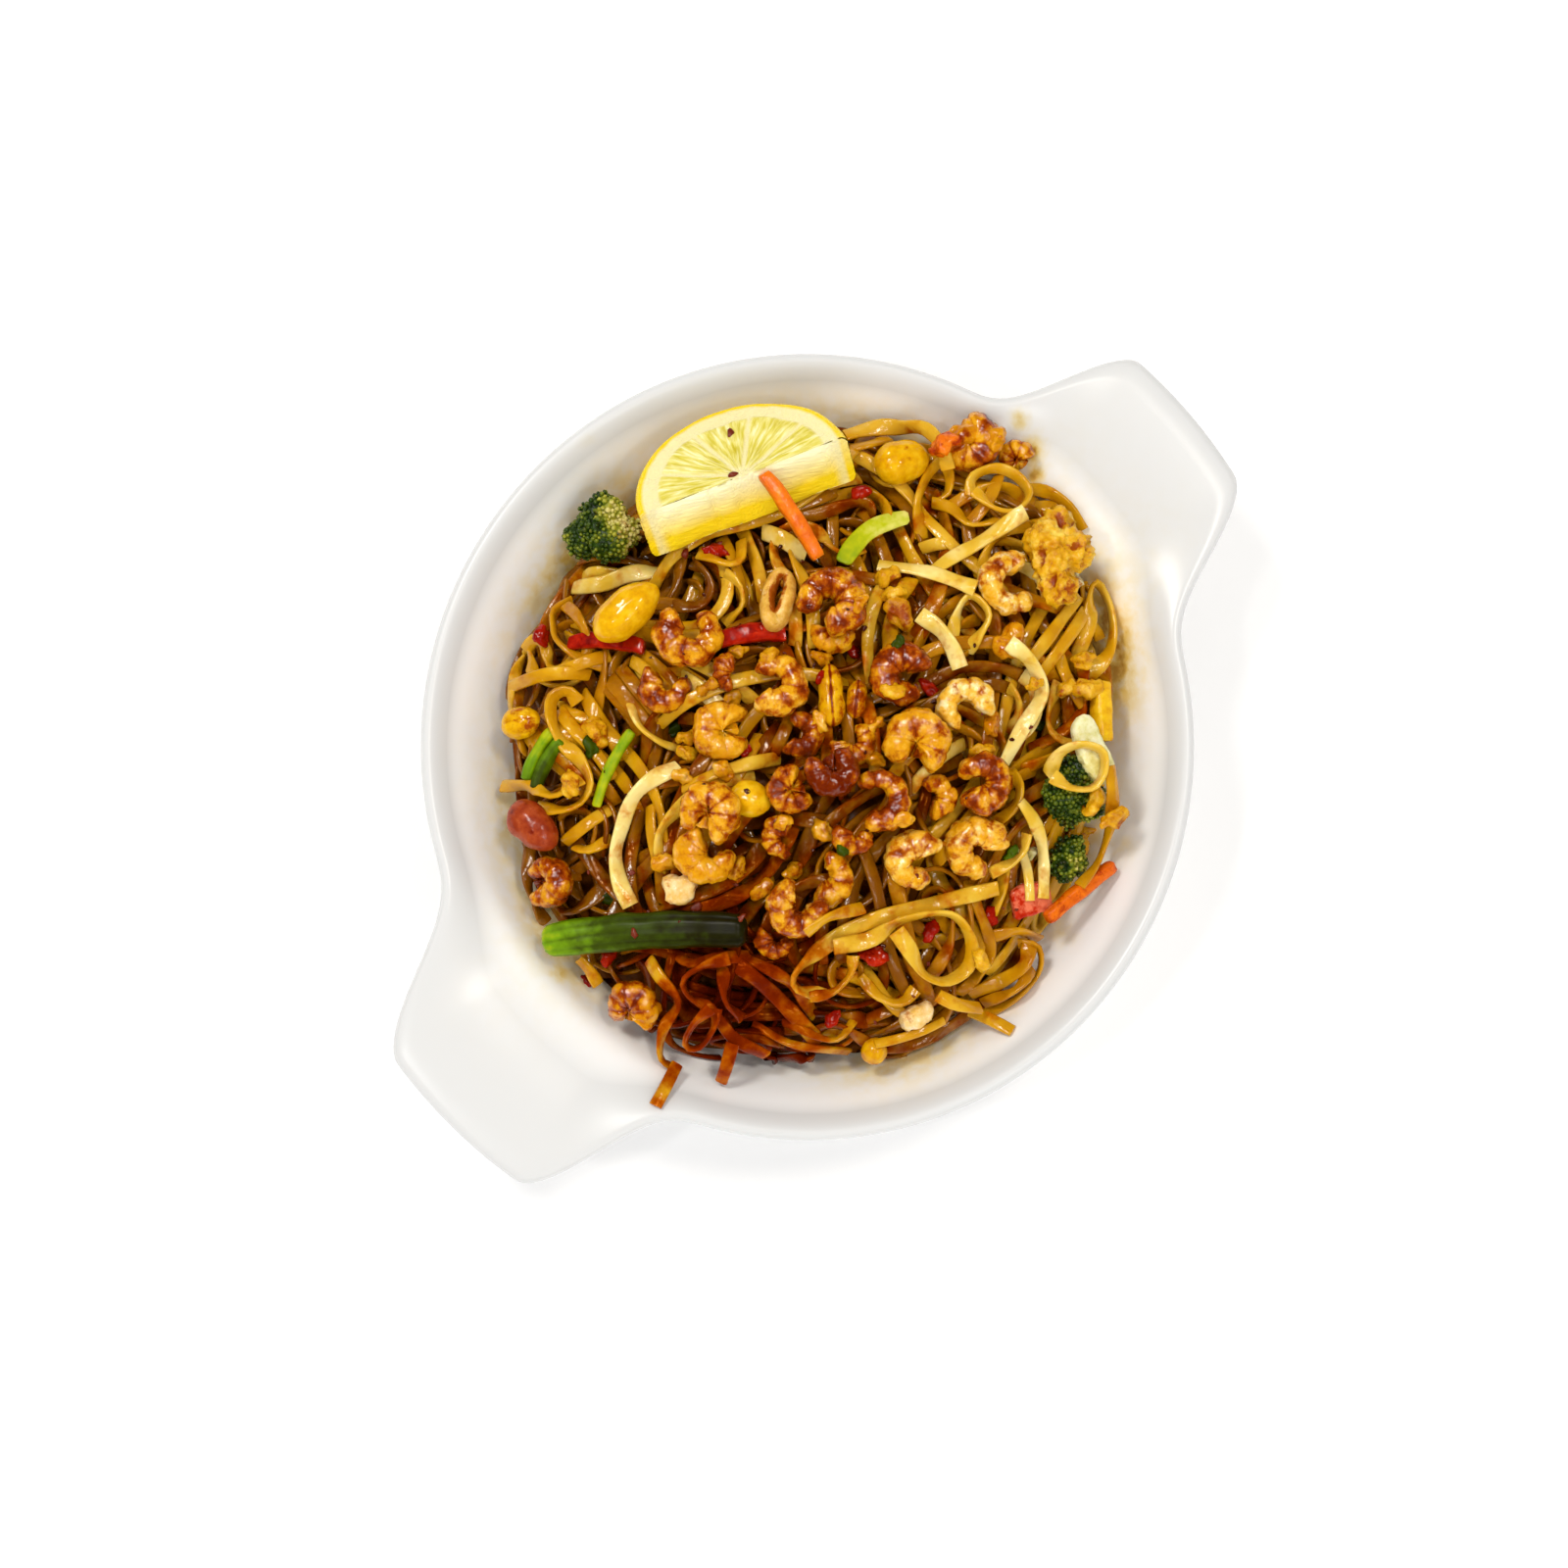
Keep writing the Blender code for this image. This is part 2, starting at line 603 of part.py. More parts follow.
def main():
    clear_scene()
    make_collection()
    pile = Pile()
    dish = build_dish()
    pile.add(dish)
    add_object("dish", dish, "porcelain")
    heap = build_heap()
    pile.add(heap)
    add_object("noodle_heap", heap, "noodles")

    lump_finish = {"broccoli": "broccoli", "egg": "egg", "sauced": "shrimp", "pink": "pale_food",
                   "pale": "pale_food"}
    stick_finish = {"pepper": "pepper", "cabbage": "cabbage", "yellow": "yellow_veg", "carrot": "carrot",
                    "olive": "olive"}
    for name, x, y, heading, length, width, thickness, bow in LEAVES:
        place(pile, name, leaf_body(length, width, thickness, bow), "scallion", x, y, heading)
    for name, x, y, size, balls in LUMPS:
        place(pile, name, lump_body(size, balls), lump_finish[name.split("_")[0]], x, y, 0.0)
    place(
        pile, "lemon_slice", lemon_body(), "lemon", *LEMON["at"], LEMON["heading"],
        lean=LEMON["lean"], lean_heading=LEMON["heading"] + 90.0,
    )
    for name, x, y, heading, pitch, length, width, height, bow in STICKS:
        body = stick_body(length, width, height, bow)
        place(pile, name, body, stick_finish[name.split("_")[0]], x, y, heading, pitch=pitch)
    for name, x, y, heading, length, width, waist in PEANUTS:
        finish = "red_skin" if name == "peanut_red_skin" else "peanut"
        place(pile, name, bean_body(length, width, waist), finish, x, y, heading)
    ring = ring_body(SQUID_RING["long"], SQUID_RING["short"], SQUID_RING["tube"])
    place(
        pile, "squid_ring", ring, "pale_food", *SQUID_RING["at"], SQUID_RING["heading"],
        lean=SQUID_RING["lean"],
    )
    for name, x, y, size, heading, turn, thickness in SHRIMPS:
        place(pile, name, curl_body(size, turn, thickness), "shrimp", x, y, heading)


main()
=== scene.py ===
# Pad thai in a round white porcelain dish with two ears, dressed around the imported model.
# Shapes are worked out in millimetres in the model's own frame and end up in metres.
import json
import math
import random

import bmesh
import bpy
import numpy as np
from mathutils import Matrix, Vector, noise
from mathutils.bvhtree import BVHTree

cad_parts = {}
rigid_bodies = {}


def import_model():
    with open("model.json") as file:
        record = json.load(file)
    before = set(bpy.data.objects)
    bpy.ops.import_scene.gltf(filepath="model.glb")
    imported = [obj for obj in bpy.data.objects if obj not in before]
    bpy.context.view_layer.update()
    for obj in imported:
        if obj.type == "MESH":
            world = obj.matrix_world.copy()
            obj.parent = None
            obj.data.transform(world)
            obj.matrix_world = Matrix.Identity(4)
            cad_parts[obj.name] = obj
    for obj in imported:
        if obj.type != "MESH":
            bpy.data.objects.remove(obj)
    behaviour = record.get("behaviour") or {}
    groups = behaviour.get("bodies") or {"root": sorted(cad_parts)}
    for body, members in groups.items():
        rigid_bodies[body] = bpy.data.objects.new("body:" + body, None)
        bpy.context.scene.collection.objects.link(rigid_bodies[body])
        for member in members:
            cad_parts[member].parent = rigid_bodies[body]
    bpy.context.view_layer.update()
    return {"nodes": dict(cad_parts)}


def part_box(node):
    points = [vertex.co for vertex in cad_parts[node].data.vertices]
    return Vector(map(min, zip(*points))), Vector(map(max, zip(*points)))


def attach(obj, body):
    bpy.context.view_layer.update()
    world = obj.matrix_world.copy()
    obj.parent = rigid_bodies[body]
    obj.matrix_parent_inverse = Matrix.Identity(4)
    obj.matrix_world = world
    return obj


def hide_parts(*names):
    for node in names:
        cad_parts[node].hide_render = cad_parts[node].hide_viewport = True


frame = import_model()
metres = 0.001
print("packed model loaded:", len(frame["nodes"]), "nodes")


# materials

def hexColour(text):
    # sRGB hex to the linear values that Blender works in
    channels = [int(text[i:i + 2], 16) / 255 for i in (0, 2, 4)]
    return tuple(c / 12.92 if c <= 0.04045 else ((c + 0.055) / 1.055) ** 2.4 for c in channels) + (1.0,)


def link(material, source, target):
    # a node stands for the first of its outputs in use
    if isinstance(source, bpy.types.Node):
        source = next(output for output in source.outputs if output.enabled)
    material.node_tree.links.new(source, target)


def addNode(material, kind, settings=None, links=None):
    # one node with its properties, socket values and incoming links
    node = material.node_tree.nodes.new("ShaderNode" + kind)
    for key, value in (settings or {}).items():
        if key == "stops":
            ramp = node.color_ramp
            while len(ramp.elements) < len(value):
                ramp.elements.new(0.5)
            for element, (position, colour) in zip(ramp.elements, value):
                element.position = position
                element.color = hexColour(colour)
        elif isinstance(key, int) or key in node.inputs:
            node.inputs[key].default_value = hexColour(value) if isinstance(value, str) else value
        else:
            setattr(node, key, value)
    for key, source in (links or {}).items():
        link(material, source, node.inputs[key])
    return node


def newMaterial(name, settings, scatter=0.0, radii=(1, 1, 1)):
    # a Principled material that scatters light within these millimetres, and its object coordinates in millimetres
    material = bpy.data.materials.new(name)
    material.use_nodes = True
    shader = material.node_tree.nodes["Principled BSDF"]
    settings = {**settings, "Subsurface Weight": scatter, "Subsurface Radius": [radius * metres for radius in radii]}
    for key, value in settings.items():
        shader.inputs[key].default_value = value
    coordinates = addNode(material, "TexCoord")
    place = addNode(material, "Mapping", {"Scale": (1 / metres,) * 3}, {"Vector": coordinates.outputs["Object"]})
    return material, shader, place


def wanderingTone(material, tone, place, size, reach, detail=4.0, roughness=0.5):
    # patches of this size in millimetres, and the tone that they lift or lower by up to the reach
    patches = addNode(material, "TexNoise", {"Scale": 1 / size, "Detail": detail, "Roughness": roughness},
                      {"Vector": place})
    lift = addNode(material, "MapRange", {"From Min": 0.3, "From Max": 0.7, "To Min": -reach, "To Max": reach},
                   {"Value": patches})
    return patches, addNode(material, "Math", {"operation": "ADD", "use_clamp": True}, {0: tone, 1: lift})


def linkSurface(material, shader, colour, relief):
    link(material, colour, shader.inputs["Base Color"])
    link(material, relief, shader.inputs["Normal"])
    return material


def glazedPorcelain():
    # glazed porcelain, slip cast and fired: clear smooth glaze over a warm white body, so soft sharp reflections
    material, shader, place = newMaterial(
        "glazedPorcelain", {"Roughness": 0.26, "IOR": 1.50, "Specular IOR Level": 0.35}, 0.05, (4, 3, 2.5))
    stain, inner = (addNode(material, "Attribute", {"attribute_name": key}).outputs["Fac"]
                    for key in ("stain", "inner"))
    patches = addNode(material, "TexNoise", {"Scale": 1 / 4.0, "Detail": 3.0}, {"Vector": place})
    broken = addNode(material, "MapRange", {"From Min": 0.38, "From Max": 0.62, "To Min": 0.45, "To Max": 1.0},
                     {"Value": patches})
    amount = addNode(material, "Math", {"operation": "MULTIPLY", "use_clamp": True}, {0: stain, 1: broken})
    # the inside is painted whiter than the ears and outside: painted light that lifts the shade on its walls
    paintedWhiterInside = addNode(material, "MapRange", {"From Min": 0.75, "From Max": 1.0}, {"Value": inner})
    glaze = addNode(material, "Mix", {"data_type": "RGBA", 6: "d2d2d1", 7: "f9f9f8"}, {0: paintedWhiterInside})
    oil = addNode(material, "ValToRGB", {"stops": (
        (0.0, "ffffff"), (0.3, "fbeaba"), (0.65, "ecc868"), (1.0, "c08428"))}, {0: amount})
    oily = addNode(material, "Mix", {"data_type": "RGBA", "blend_type": "MULTIPLY", 0: 1.0}, {6: glaze, 7: oil})
    # glaze ripple, about 18 mm long and only a few hundredths high
    ripple = addNode(material, "TexNoise", {"Scale": 1 / 18.0, "Detail": 1.0}, {"Vector": place})
    bump = addNode(material, "Bump", {"Strength": 0.25, "Distance": 0.2 * metres}, {"Height": ripple})
    return linkSurface(material, shader, oily, bump)


def riceNoodle():
    # rice noodle, steamed, cut and fried in tamarind sauce: waxy and a little clear, with an oily shine
    material, shader, place = newMaterial(
        "friedRiceNoodle", {"Roughness": 0.17, "IOR": 1.44, "Specular IOR Level": 0.75}, 0.08, (2, 0.8, 0.2))
    tone, sauce = (addNode(material, "Attribute", {"attribute_name": key}).outputs["Fac"]
                   for key in ("tone", "sauce"))
    # colour wanders along a strand over about 9 mm
    total = wanderingTone(material, tone, place, 9.0, 0.16, detail=3.0)[1]
    body = addNode(material, "ValToRGB", {"stops": (
        (0.0, "7c4602"), (0.3, "b07002"), (0.55, "d09608"), (0.8, "e2b838"), (1.0, "f4de8c"))}, {0: total})
    # sauce lies in streaks about 5 mm wide
    streaks = addNode(material, "TexNoise", {"Scale": 1 / 5.0, "Detail": 4.0}, {"Vector": place})
    streak = addNode(material, "Math", {"operation": "SUBTRACT"}, {0: streaks, 1: sauce})
    glaze = addNode(material, "ValToRGB", {"stops": (
        (0.0, "984406"), (0.08, "b05c08"), (0.22, "d8983c"), (0.40, "ffffff"))}, {0: streak})
    coated = addNode(material, "Mix", {"data_type": "RGBA", "blend_type": "MULTIPLY", 0: 1.0}, {6: body, 7: glaze})
    # light shining off a coated strand takes the colour of the sauce
    link(material, glaze, shader.inputs["Specular Tint"])
    grain = addNode(material, "TexNoise", {"Scale": 1 / 1.3, "Detail": 3.0}, {"Vector": place})
    bump = addNode(material, "Bump", {"Strength": 0.5, "Distance": 0.3 * metres}, {"Height": grain})
    return linkSurface(material, shader, coated, bump)


def sauceFilm(name, colour, deep, roughness, shine=0.5):
    # reduced sauce: dark, sticky and very shiny
    material, shader, place = newMaterial(name, {"Roughness": roughness, "IOR": 1.42, "Specular IOR Level": shine})
    patches = addNode(material, "TexNoise", {"Scale": 1 / 6.0, "Detail": 4.0}, {"Vector": place})
    wet = addNode(material, "Mix", {"data_type": "RGBA", 6: colour, 7: deep}, {0: patches})
    bump = addNode(material, "Bump", {"Strength": 0.5, "Distance": 1.0 * metres}, {"Height": patches})
    return linkSurface(material, shader, wet, bump)


def saucedFlesh(name, roughness, ior, shine, scatter, radii, grainSize, grainHeight, sauceColour, stops):
    # cooked food under caramelised sauce: attribute tone picks its own colour, sauce how much is covered
    material, shader, place = newMaterial(
        name, {"Roughness": roughness, "IOR": ior, "Specular IOR Level": shine}, scatter, radii)
    tone, sauce, groove = (addNode(material, "Attribute", {"attribute_name": key}).outputs["Fac"]
                           for key in ("tone", "sauce", "groove"))
    total = wanderingTone(material, tone, place, 2.6, 0.28, roughness=0.6)[1]
    flesh = addNode(material, "ValToRGB", {"stops": stops}, {0: total})
    # the glaze darkens what it covers: clear, then amber, then nearly black where it pooled
    pools = addNode(material, "TexNoise", {"Scale": 1 / 5.0, "Detail": 5.0, "Roughness": 0.66}, {"Vector": place})
    pooled = addNode(material, "Math", {"operation": "MULTIPLY_ADD", 1: -0.52}, {0: sauce, 2: pools})
    # grooves and creases take the glaze deeper: sauce gathered there, and painted shade in them
    deeper = addNode(material, "Math", {"operation": "MULTIPLY_ADD", "use_clamp": True, 1: -0.26},
                     {0: groove, 2: pooled})
    glaze = addNode(material, "ValToRGB", {"stops": (
        (0.0, sauceColour), (0.12, sauceColour), (0.22, "c07c38"), (0.34, "ffffff"))}, {0: deeper})
    coated = addNode(material, "Mix", {"data_type": "RGBA", "blend_type": "MULTIPLY", 0: 1.0}, {6: flesh, 7: glaze})
    grain = addNode(material, "TexNoise", {"Scale": 1 / grainSize, "Detail": 3.0}, {"Vector": place})
    bump = addNode(material, "Bump", {"Strength": 0.55, "Distance": grainHeight * metres}, {"Height": grain})
    return linkSurface(material, shader, coated, bump)


def greenStalk():
    # scallion, pod and stalk: smooth fibrous skin; tone runs from near black through green to pale
    material, shader, place = newMaterial(
        "greenStalk", {"Roughness": 0.36, "IOR": 1.42, "Specular IOR Level": 0.2}, 0.06, (1.5, 1.5, 0.3))
    tone, groove = (addNode(material, "Attribute", {"attribute_name": key}).outputs["Fac"]
                    for key in ("tone", "groove"))
    mottle, total = wanderingTone(material, tone, place, 3.0, 0.07)
    # painted shade: the grooves between the ribs are darker
    shaded = addNode(material, "Math", {"operation": "MULTIPLY_ADD", "use_clamp": True, 1: -0.18},
                     {0: groove, 2: total})
    skin = addNode(material, "ValToRGB", {"stops": (
        (0.0, "0e0a01"), (0.2, "201f02"), (0.42, "3a4a02"), (0.62, "6c9204"), (0.8, "b4b80a"), (1.0, "e6da78"))},
        {0: shaded})
    bump = addNode(material, "Bump", {"Strength": 0.4, "Distance": 0.1 * metres}, {"Height": mottle})
    return linkSurface(material, shader, skin, bump)


fleshes = {
    # material, roughness, IOR, shine, how much light scatters inside and how far for red, green and blue,
    # grain size and height in millimetres, sauce colour, then its own colours from dark to pale
    # peeled shrimp, fried: firm translucent flesh under a caramelised glaze
    "shrimp": ("friedShrimp", 0.12, 1.44, 0.95, 0.1, (4, 1.4, 0.3), 0.9, 0.3, "84400e", (
        (0.0, "b45c02"), (0.3, "d08604"), (0.6, "e2a012"), (0.85, "f0be48"), (1.0, "f8e0a0"))),
    # blanched peanut, fried and glazed: smooth, waxy, deep yellow
    "peanut": ("friedPeanut", 0.14, 1.45, 0.5, 0.12, (4, 2, 0.4), 1.6, 0.08, "8a3c10", (
        (0.0, "b06202"), (0.35, "cb8b02"), (0.65, "dea604"), (1.0, "eabe20"))),
    # peanut in its papery red skin, oiled in the pan
    "redSkin": ("redPeanutSkin", 0.26, 1.45, 0.5, 0, (1, 1, 1), 1.2, 0.1, "7a3010", (
        (0.0, "6a1804"), (0.4, "93310c"), (0.7, "a8451a"), (1.0, "c4703c"))),
    # egg scrambled in the wok: matt crumpled curds, its sunken folds darker: partly browning, partly painted shade
    "egg": ("scrambledEgg", 0.24, 1.40, 0.5, 0.12, (3, 1.5, 0.3), 0.7, 0.4, "b06c24", (
        (0.0, "a45c02"), (0.35, "cc8a06"), (0.65, "e0a812"), (1.0, "f2ce54"))),
    # squid and pale meat: opaque cream with a thin coat of sauce
    "paleFood": ("paleMeat", 0.22, 1.40, 0.5, 0.15, (4, 2, 0.6), 0.9, 0.3, "b0702c", (
        (0.0, "c4862a"), (0.4, "deac48"), (0.7, "ecca88"), (1.0, "f6e6c4"))),
    # sweet pepper, cut in strips and fried: glossy skin over wet flesh
    "pepper": ("redPepper", 0.16, 1.42, 0.5, 0.08, (3, 0.5, 0.2), 1.5, 0.1, "7a3018", (
        (0.0, "700501"), (0.4, "961001"), (0.75, "ba2404"), (1.0, "e07450"))),
    # carrot cut in sticks: bright orange, faintly fibrous
    "carrot": ("cutCarrot", 0.26, 1.40, 0.5, 0.1, (4, 1.2, 0.2), 1.0, 0.15, "8a4418", (
        (0.0, "b04202"), (0.35, "d45c02"), (0.7, "e67202"), (1.0, "f0901c"))),
    # yellow pepper or baby maize, fried soft
    "yellow": ("yellowVegetable", 0.24, 1.40, 0.5, 0.12, (4, 2, 0.3), 0.9, 0.3, "a0682a", (
        (0.0, "c08004"), (0.4, "e2a808"), (0.75, "f0c418"), (1.0, "f6db60"))),
    # white cabbage, wilted: pale, wet and veined
    "cabbage": ("wiltedCabbage", 0.26, 1.40, 0.5, 0.15, (4, 3, 1), 0.9, 0.3, "a88430", (
        (0.0, "b8a83c"), (0.4, "dcd488"), (0.7, "ece8b8"), (1.0, "f6f4dc"))),
    # broccoli florets: tight matt buds, oiled; tone runs from deep shade to yellow-green
    "broccoli": ("broccoliBuds", 0.34, 1.40, 0.5, 0, (1, 1, 1), 0.6, 0.3, "6a4a20", (
        (0.0, "0e1c02"), (0.3, "2a4204"), (0.55, "687410"), (0.78, "a8a430"), (1.0, "dcd084"))),
}
finishes = {
    "porcelain": glazedPorcelain(),
    "noodles": riceNoodle(),
    "core": sauceFilm("pooledSauce", "2c0a01", "5a1c03", 0.18),
    # the core under the strands: sauce-soaked noodles, painted dark as shade for the depths between the strands
    "depths": sauceFilm("soakedShadedNoodles", "542602", "7c4404", 0.35, 0.15),
    "flake": sauceFilm("chilliFlake", "4a1202", "8a2c06", 0.35),
    "stalk": greenStalk(),
    **{key: saucedFlesh(*spec) for key, spec in fleshes.items()},
}
print("finishes ready:", len(finishes))


# making pieces

def addObject(name, data):
    holder = bpy.data.objects.new(name, data)
    bpy.context.scene.collection.objects.link(holder)
    return holder


def newBody(*layers):
    # an empty bmesh that keeps these numbers on its vertices
    body = bmesh.new()
    for name in layers:
        body.verts.layers.float.new(name)
    return body


def ballBody(detail, radius, *layers):
    body = newBody(*layers)
    bmesh.ops.create_icosphere(body, subdivisions=detail, radius=radius)
    return body


def setLayer(body, name, value):
    # a named number on every vertex, from a function of the vertex or one value for all
    layer = body.verts.layers.float.get(name) or body.verts.layers.float.new(name)
    for vert in body.verts:
        vert[layer] = value(vert) if callable(value) else value


def finishPiece(name, body, finish, slot, nodes=(), sharp=None, recalc=True):
    # a bmesh in millimetres becomes a named piece that rides on the root body
    if recalc:
        bmesh.ops.recalc_face_normals(body, faces=body.faces)
    mesh = bpy.data.meshes.new(name)
    body.to_mesh(mesh)
    body.free()
    mesh.transform(Matrix.Scale(metres, 4))
    mesh.materials.append(finishes[finish])
    mesh.shade_smooth()
    if sharp:
        mesh.set_sharp_from_angle(angle=math.radians(sharp))
    piece = addObject(name, mesh)
    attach(piece, "root")
    if nodes:
        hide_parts(*nodes)


def dressNode(node, body, finish, slot, sharp=None, **numbers):
    # a topping takes its numbers and the place of its solid
    for name, value in numbers.items():
        setLayer(body, name, value)
    finishPiece(node + "_dressed", body, finish, slot, [node], sharp=sharp)


def smoothStep(value):
    value = min(max(value, 0.0), 1.0)
    return value * value * (3 - 2 * value)


def bellAt(away, width):
    # 1 in the middle, falling smoothly to nothing at about twice the width
    return math.exp(-(away / width) ** 2)


def clamped(value, least=0.0, most=1.0):
    return min(most, max(least, value))


def smoothCourse(points, spacing):
    # a smooth course through the points, one knot every so many millimetres
    ends = [points[0] * 2 - points[1]] + list(points) + [points[-1] * 2 - points[-2]]
    fine = []
    for a, b, c, d in zip(ends, ends[1:], ends[2:], ends[3:]):
        for t in np.linspace(0, 1, 24, endpoint=False):
            fine.append(0.5 * (2 * b + (c - a) * t + (2 * a - 5 * b + 4 * c - d) * t * t
                               + (3 * b - a - 3 * c + d) * t ** 3))
    fine.append(points[-1])
    fine = np.array(fine)
    run = np.concatenate([[0], np.cumsum(np.linalg.norm(np.diff(fine, axis=0), axis=1))])
    marks = np.linspace(0, run[-1], max(3, int(run[-1] / spacing) + 1))
    return np.stack([np.interp(marks, run, fine[:, i]) for i in range(fine.shape[1])], axis=1)


def outline(corners):
    # a closed flat curve that a sweep takes as its cross-section
    curve = bpy.data.curves.new("section", "CURVE")
    curve.dimensions = "2D"
    spline = curve.splines.new("POLY")
    spline.points.add(len(corners) - 1)
    for knot, (x, y) in zip(spline.points, corners):
        knot.co = (x, y, 0, 1)
    spline.use_cyclic_u = True
    holder = addObject("section", curve)
    holder.hide_render = True
    return holder


def sweepMesh(points, section, scales=None, tilts=None, closed=False):
    # the section carried along the points, as a mesh; its tilt turns it about the course, level at 0
    curve = bpy.data.curves.new("sweep", "CURVE")
    curve.dimensions = "3D"
    curve.twist_mode = "Z_UP"
    curve.bevel_mode = "OBJECT"
    curve.bevel_object = section
    curve.use_fill_caps = not closed
    spline = curve.splines.new("POLY")
    spline.points.add(len(points) - 1)
    for i, knot in enumerate(spline.points):
        knot.co = (*points[i], 1)
        knot.radius = 1.0 if scales is None else scales[i]
        knot.tilt = 0.0 if tilts is None else tilts[i]
    spline.use_cyclic_u = closed
    holder = addObject("sweep", curve)
    shape = holder.evaluated_get(bpy.context.evaluated_depsgraph_get())
    mesh = bpy.data.meshes.new_from_object(shape)
    bpy.data.objects.remove(holder, do_unlink=True)
    bpy.data.curves.remove(curve)
    return mesh


def sweepBody(points, section, scales=None, tilts=None, closed=False):
    mesh = sweepMesh(points, section, scales, tilts, closed)
    body = bmesh.new()
    body.from_mesh(mesh)
    bpy.data.meshes.remove(mesh)
    bmesh.ops.remove_doubles(body, verts=body.verts, dist=0.001)
    return body


def roundSection(sides):
    turns = [math.tau * i / sides for i in range(sides)]
    return outline([(math.cos(t), math.sin(t)) for t in turns])


def nodeMiddle(node):
    low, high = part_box(node)
    return (low + high) / 2 / metres


def domeLean(x, y):
    # how far a piece tips outwards with the heap's slope, or inwards on the dish's wall
    share = math.hypot(x, y) / heap["radius"]
    return heap["edgeLean"] * share ** 1.5 if share <= 1 else -heap["wallLean"]


def setOver(body, node, heading, pitch=0, lean=None, leanHeading=None, fit=True):
    # turns a body made round its own middle, sizes it to its solid and sets it there
    middle = nodeMiddle(node)
    lean = domeLean(middle.x, middle.y) if lean is None else lean
    leanHeading = math.degrees(math.atan2(middle.y, middle.x)) if leanHeading is None else leanHeading
    tipAxis = Vector((-math.sin(math.radians(leanHeading)), math.cos(math.radians(leanHeading)), 0))
    turn = (Matrix.Rotation(math.radians(lean), 4, tipAxis)
            @ Matrix.Rotation(math.radians(heading), 4, "Z")
            @ Matrix.Rotation(math.radians(-pitch), 4, "Y"))
    bmesh.ops.transform(body, matrix=turn, verts=body.verts)
    places = np.array([v.co for v in body.verts])
    low, high = places.min(0), places.max(0)
    if fit:
        wanted = (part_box(node)[1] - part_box(node)[0]) / metres
        ratio = sum(wanted[i] / (high[i] - low[i]) for i in range(3)) / 3
        bmesh.ops.scale(body, vec=(ratio,) * 3, verts=body.verts)
        low, high = low * ratio, high * ratio
    bmesh.ops.translate(body, vec=middle - Vector((low + high) / 2), verts=body.verts)


def roughen(body, height, size, seed=0.0):
    # soft uneven swelling along the normals
    body.normal_update()
    shift = Vector((seed, seed * 0.7, 3.1))
    moves = [noise.noise(v.co / size + shift) * height for v in body.verts]
    for vert, move in zip(body.verts, moves):
        vert.co += vert.normal * move


heap = {
    "radius": 84.0, "edgeLean": 30.0, "wallLean": 25.0, "ovalShare": 0.012, "ovalHeading": 46.5,
    # its edge: count, size and phase of each wave, then heading, width and reach of each bulge or dent
    "waves": ((2, 1.4, 40), (5, 1.3, 200), (9, 1.0, 75)), "reaches": ((-3, 20, 5.0), (-80, 15, -5.0)),
}


def ovalTurn():
    # the dish and heap are a little longer along one heading
    turn = Matrix.Rotation(math.radians(heap["ovalHeading"]), 4, "Z")
    return turn @ Matrix.Diagonal((1 + heap["ovalShare"], 1 - heap["ovalShare"], 1, 1)) @ turn.inverted()


# the dish

dish = {
    "steps": 300, "profileStep": 1.1, "earDetail": 0.5, "earSwell": 1.7, "earLift": 0.8,
    # radius, height and share of the ear's reach, from the middle of the well over the rim to the foot
    "inside": ((0, 5.5, 0), (46, 7, 0), (64, 12.5, 0), (76, 21, 0), (85, 31.5, 0), (91.5, 40.5, 0.04),
               (95.5, 45.3, 0.42), (98.2, 47.3, 0.92)),
    "outside": ((99.8, 46.9, 1), (100.6, 45.3, 1), (99.8, 43.4, 0.97), (97, 40.6, 0.5), (93, 34.8, 0.05),
                (87.5, 26.5, 0), (77, 15, 0), (62, 6, 0), (56.5, 3.4, 0)),
    "foot": ((55.5, 0, 0), (49.5, 0, 0), (48, 2.4, 0), (0, 2.4, 0)),
    # each ear: where it starts, where its tip edge starts and ends, where it is gone, and its reach
    "ears": ((-33.5, -12, 4.5, 22.5, 30.8), (151.5, 174.5, 192.5, 212, 32.4)),
    # a thin film of oil everywhere, where its fringe beyond the food starts and over what length it fades,
    # then heading, width and strength of each stretch of the fringe
    "film": 0.04, "fringeStart": 1.0, "fringeFade": 3.4,
    "oil": ((-25, 12, 1.0), (175, 10, 0.5), (150, 14, 0.35), (-115, 14, 0.45), (20, 14, 0.5), (95, 16, 0.7),
            (60, 20, 0.35), (-60, 12, 0.3)),
    # splashes of sauce on the glaze beyond the food: place, radius and strength
    "splashes": ((14, 99, 2.2, 0.5), (11, 97, 1.8, 0.45), (-14, 80, 2.5, 0.7), (-21, 76, 3.5, 0.9), (-36, 70, 3, 0.9),
                 (98, 22, 2.2, 1.3), (95, 14, 3.0, 1.5), (92, 9, 2.2, 1.0), (88, -17, 2.6, 0.45), (80, -36, 3.2, 0.9),
                 (76, -42, 3.2, 0.8), (42, -76, 3.5, 0.25), (16, -81, 3.5, 0.3), (-80, 23, 2.6, 0.5),
                 (-87, 2, 2.8, 0.6), (-33, -77, 3, 0.4), (-7, -85, 3, 0.22)),
}


def earReach(angle):
    for begin, tipBegin, tipEnd, end, reach in dish["ears"]:
        turn = begin + (angle - begin) % 360
        if turn < tipBegin:
            return reach * smoothStep(((turn - begin) / (tipBegin - begin)) ** dish["earSwell"])
        if turn <= tipEnd:
            return reach
        if turn < end:
            return reach * smoothStep(((end - turn) / (end - tipEnd)) ** dish["earSwell"])
    return 0.0


def withBumps(value, bumps, turn):
    # the value plus a smooth bump of each width and size at each heading
    for heading, width, size in bumps:
        value += size * bellAt((math.degrees(turn) - heading + 180) % 360 - 180, width)
    return value


def heapEdge(turn):
    edge = heap["radius"]
    for count, size, phase in heap["waves"]:
        edge += size * math.sin(count * turn + math.radians(phase))
    return withBumps(edge, heap["reaches"], turn)


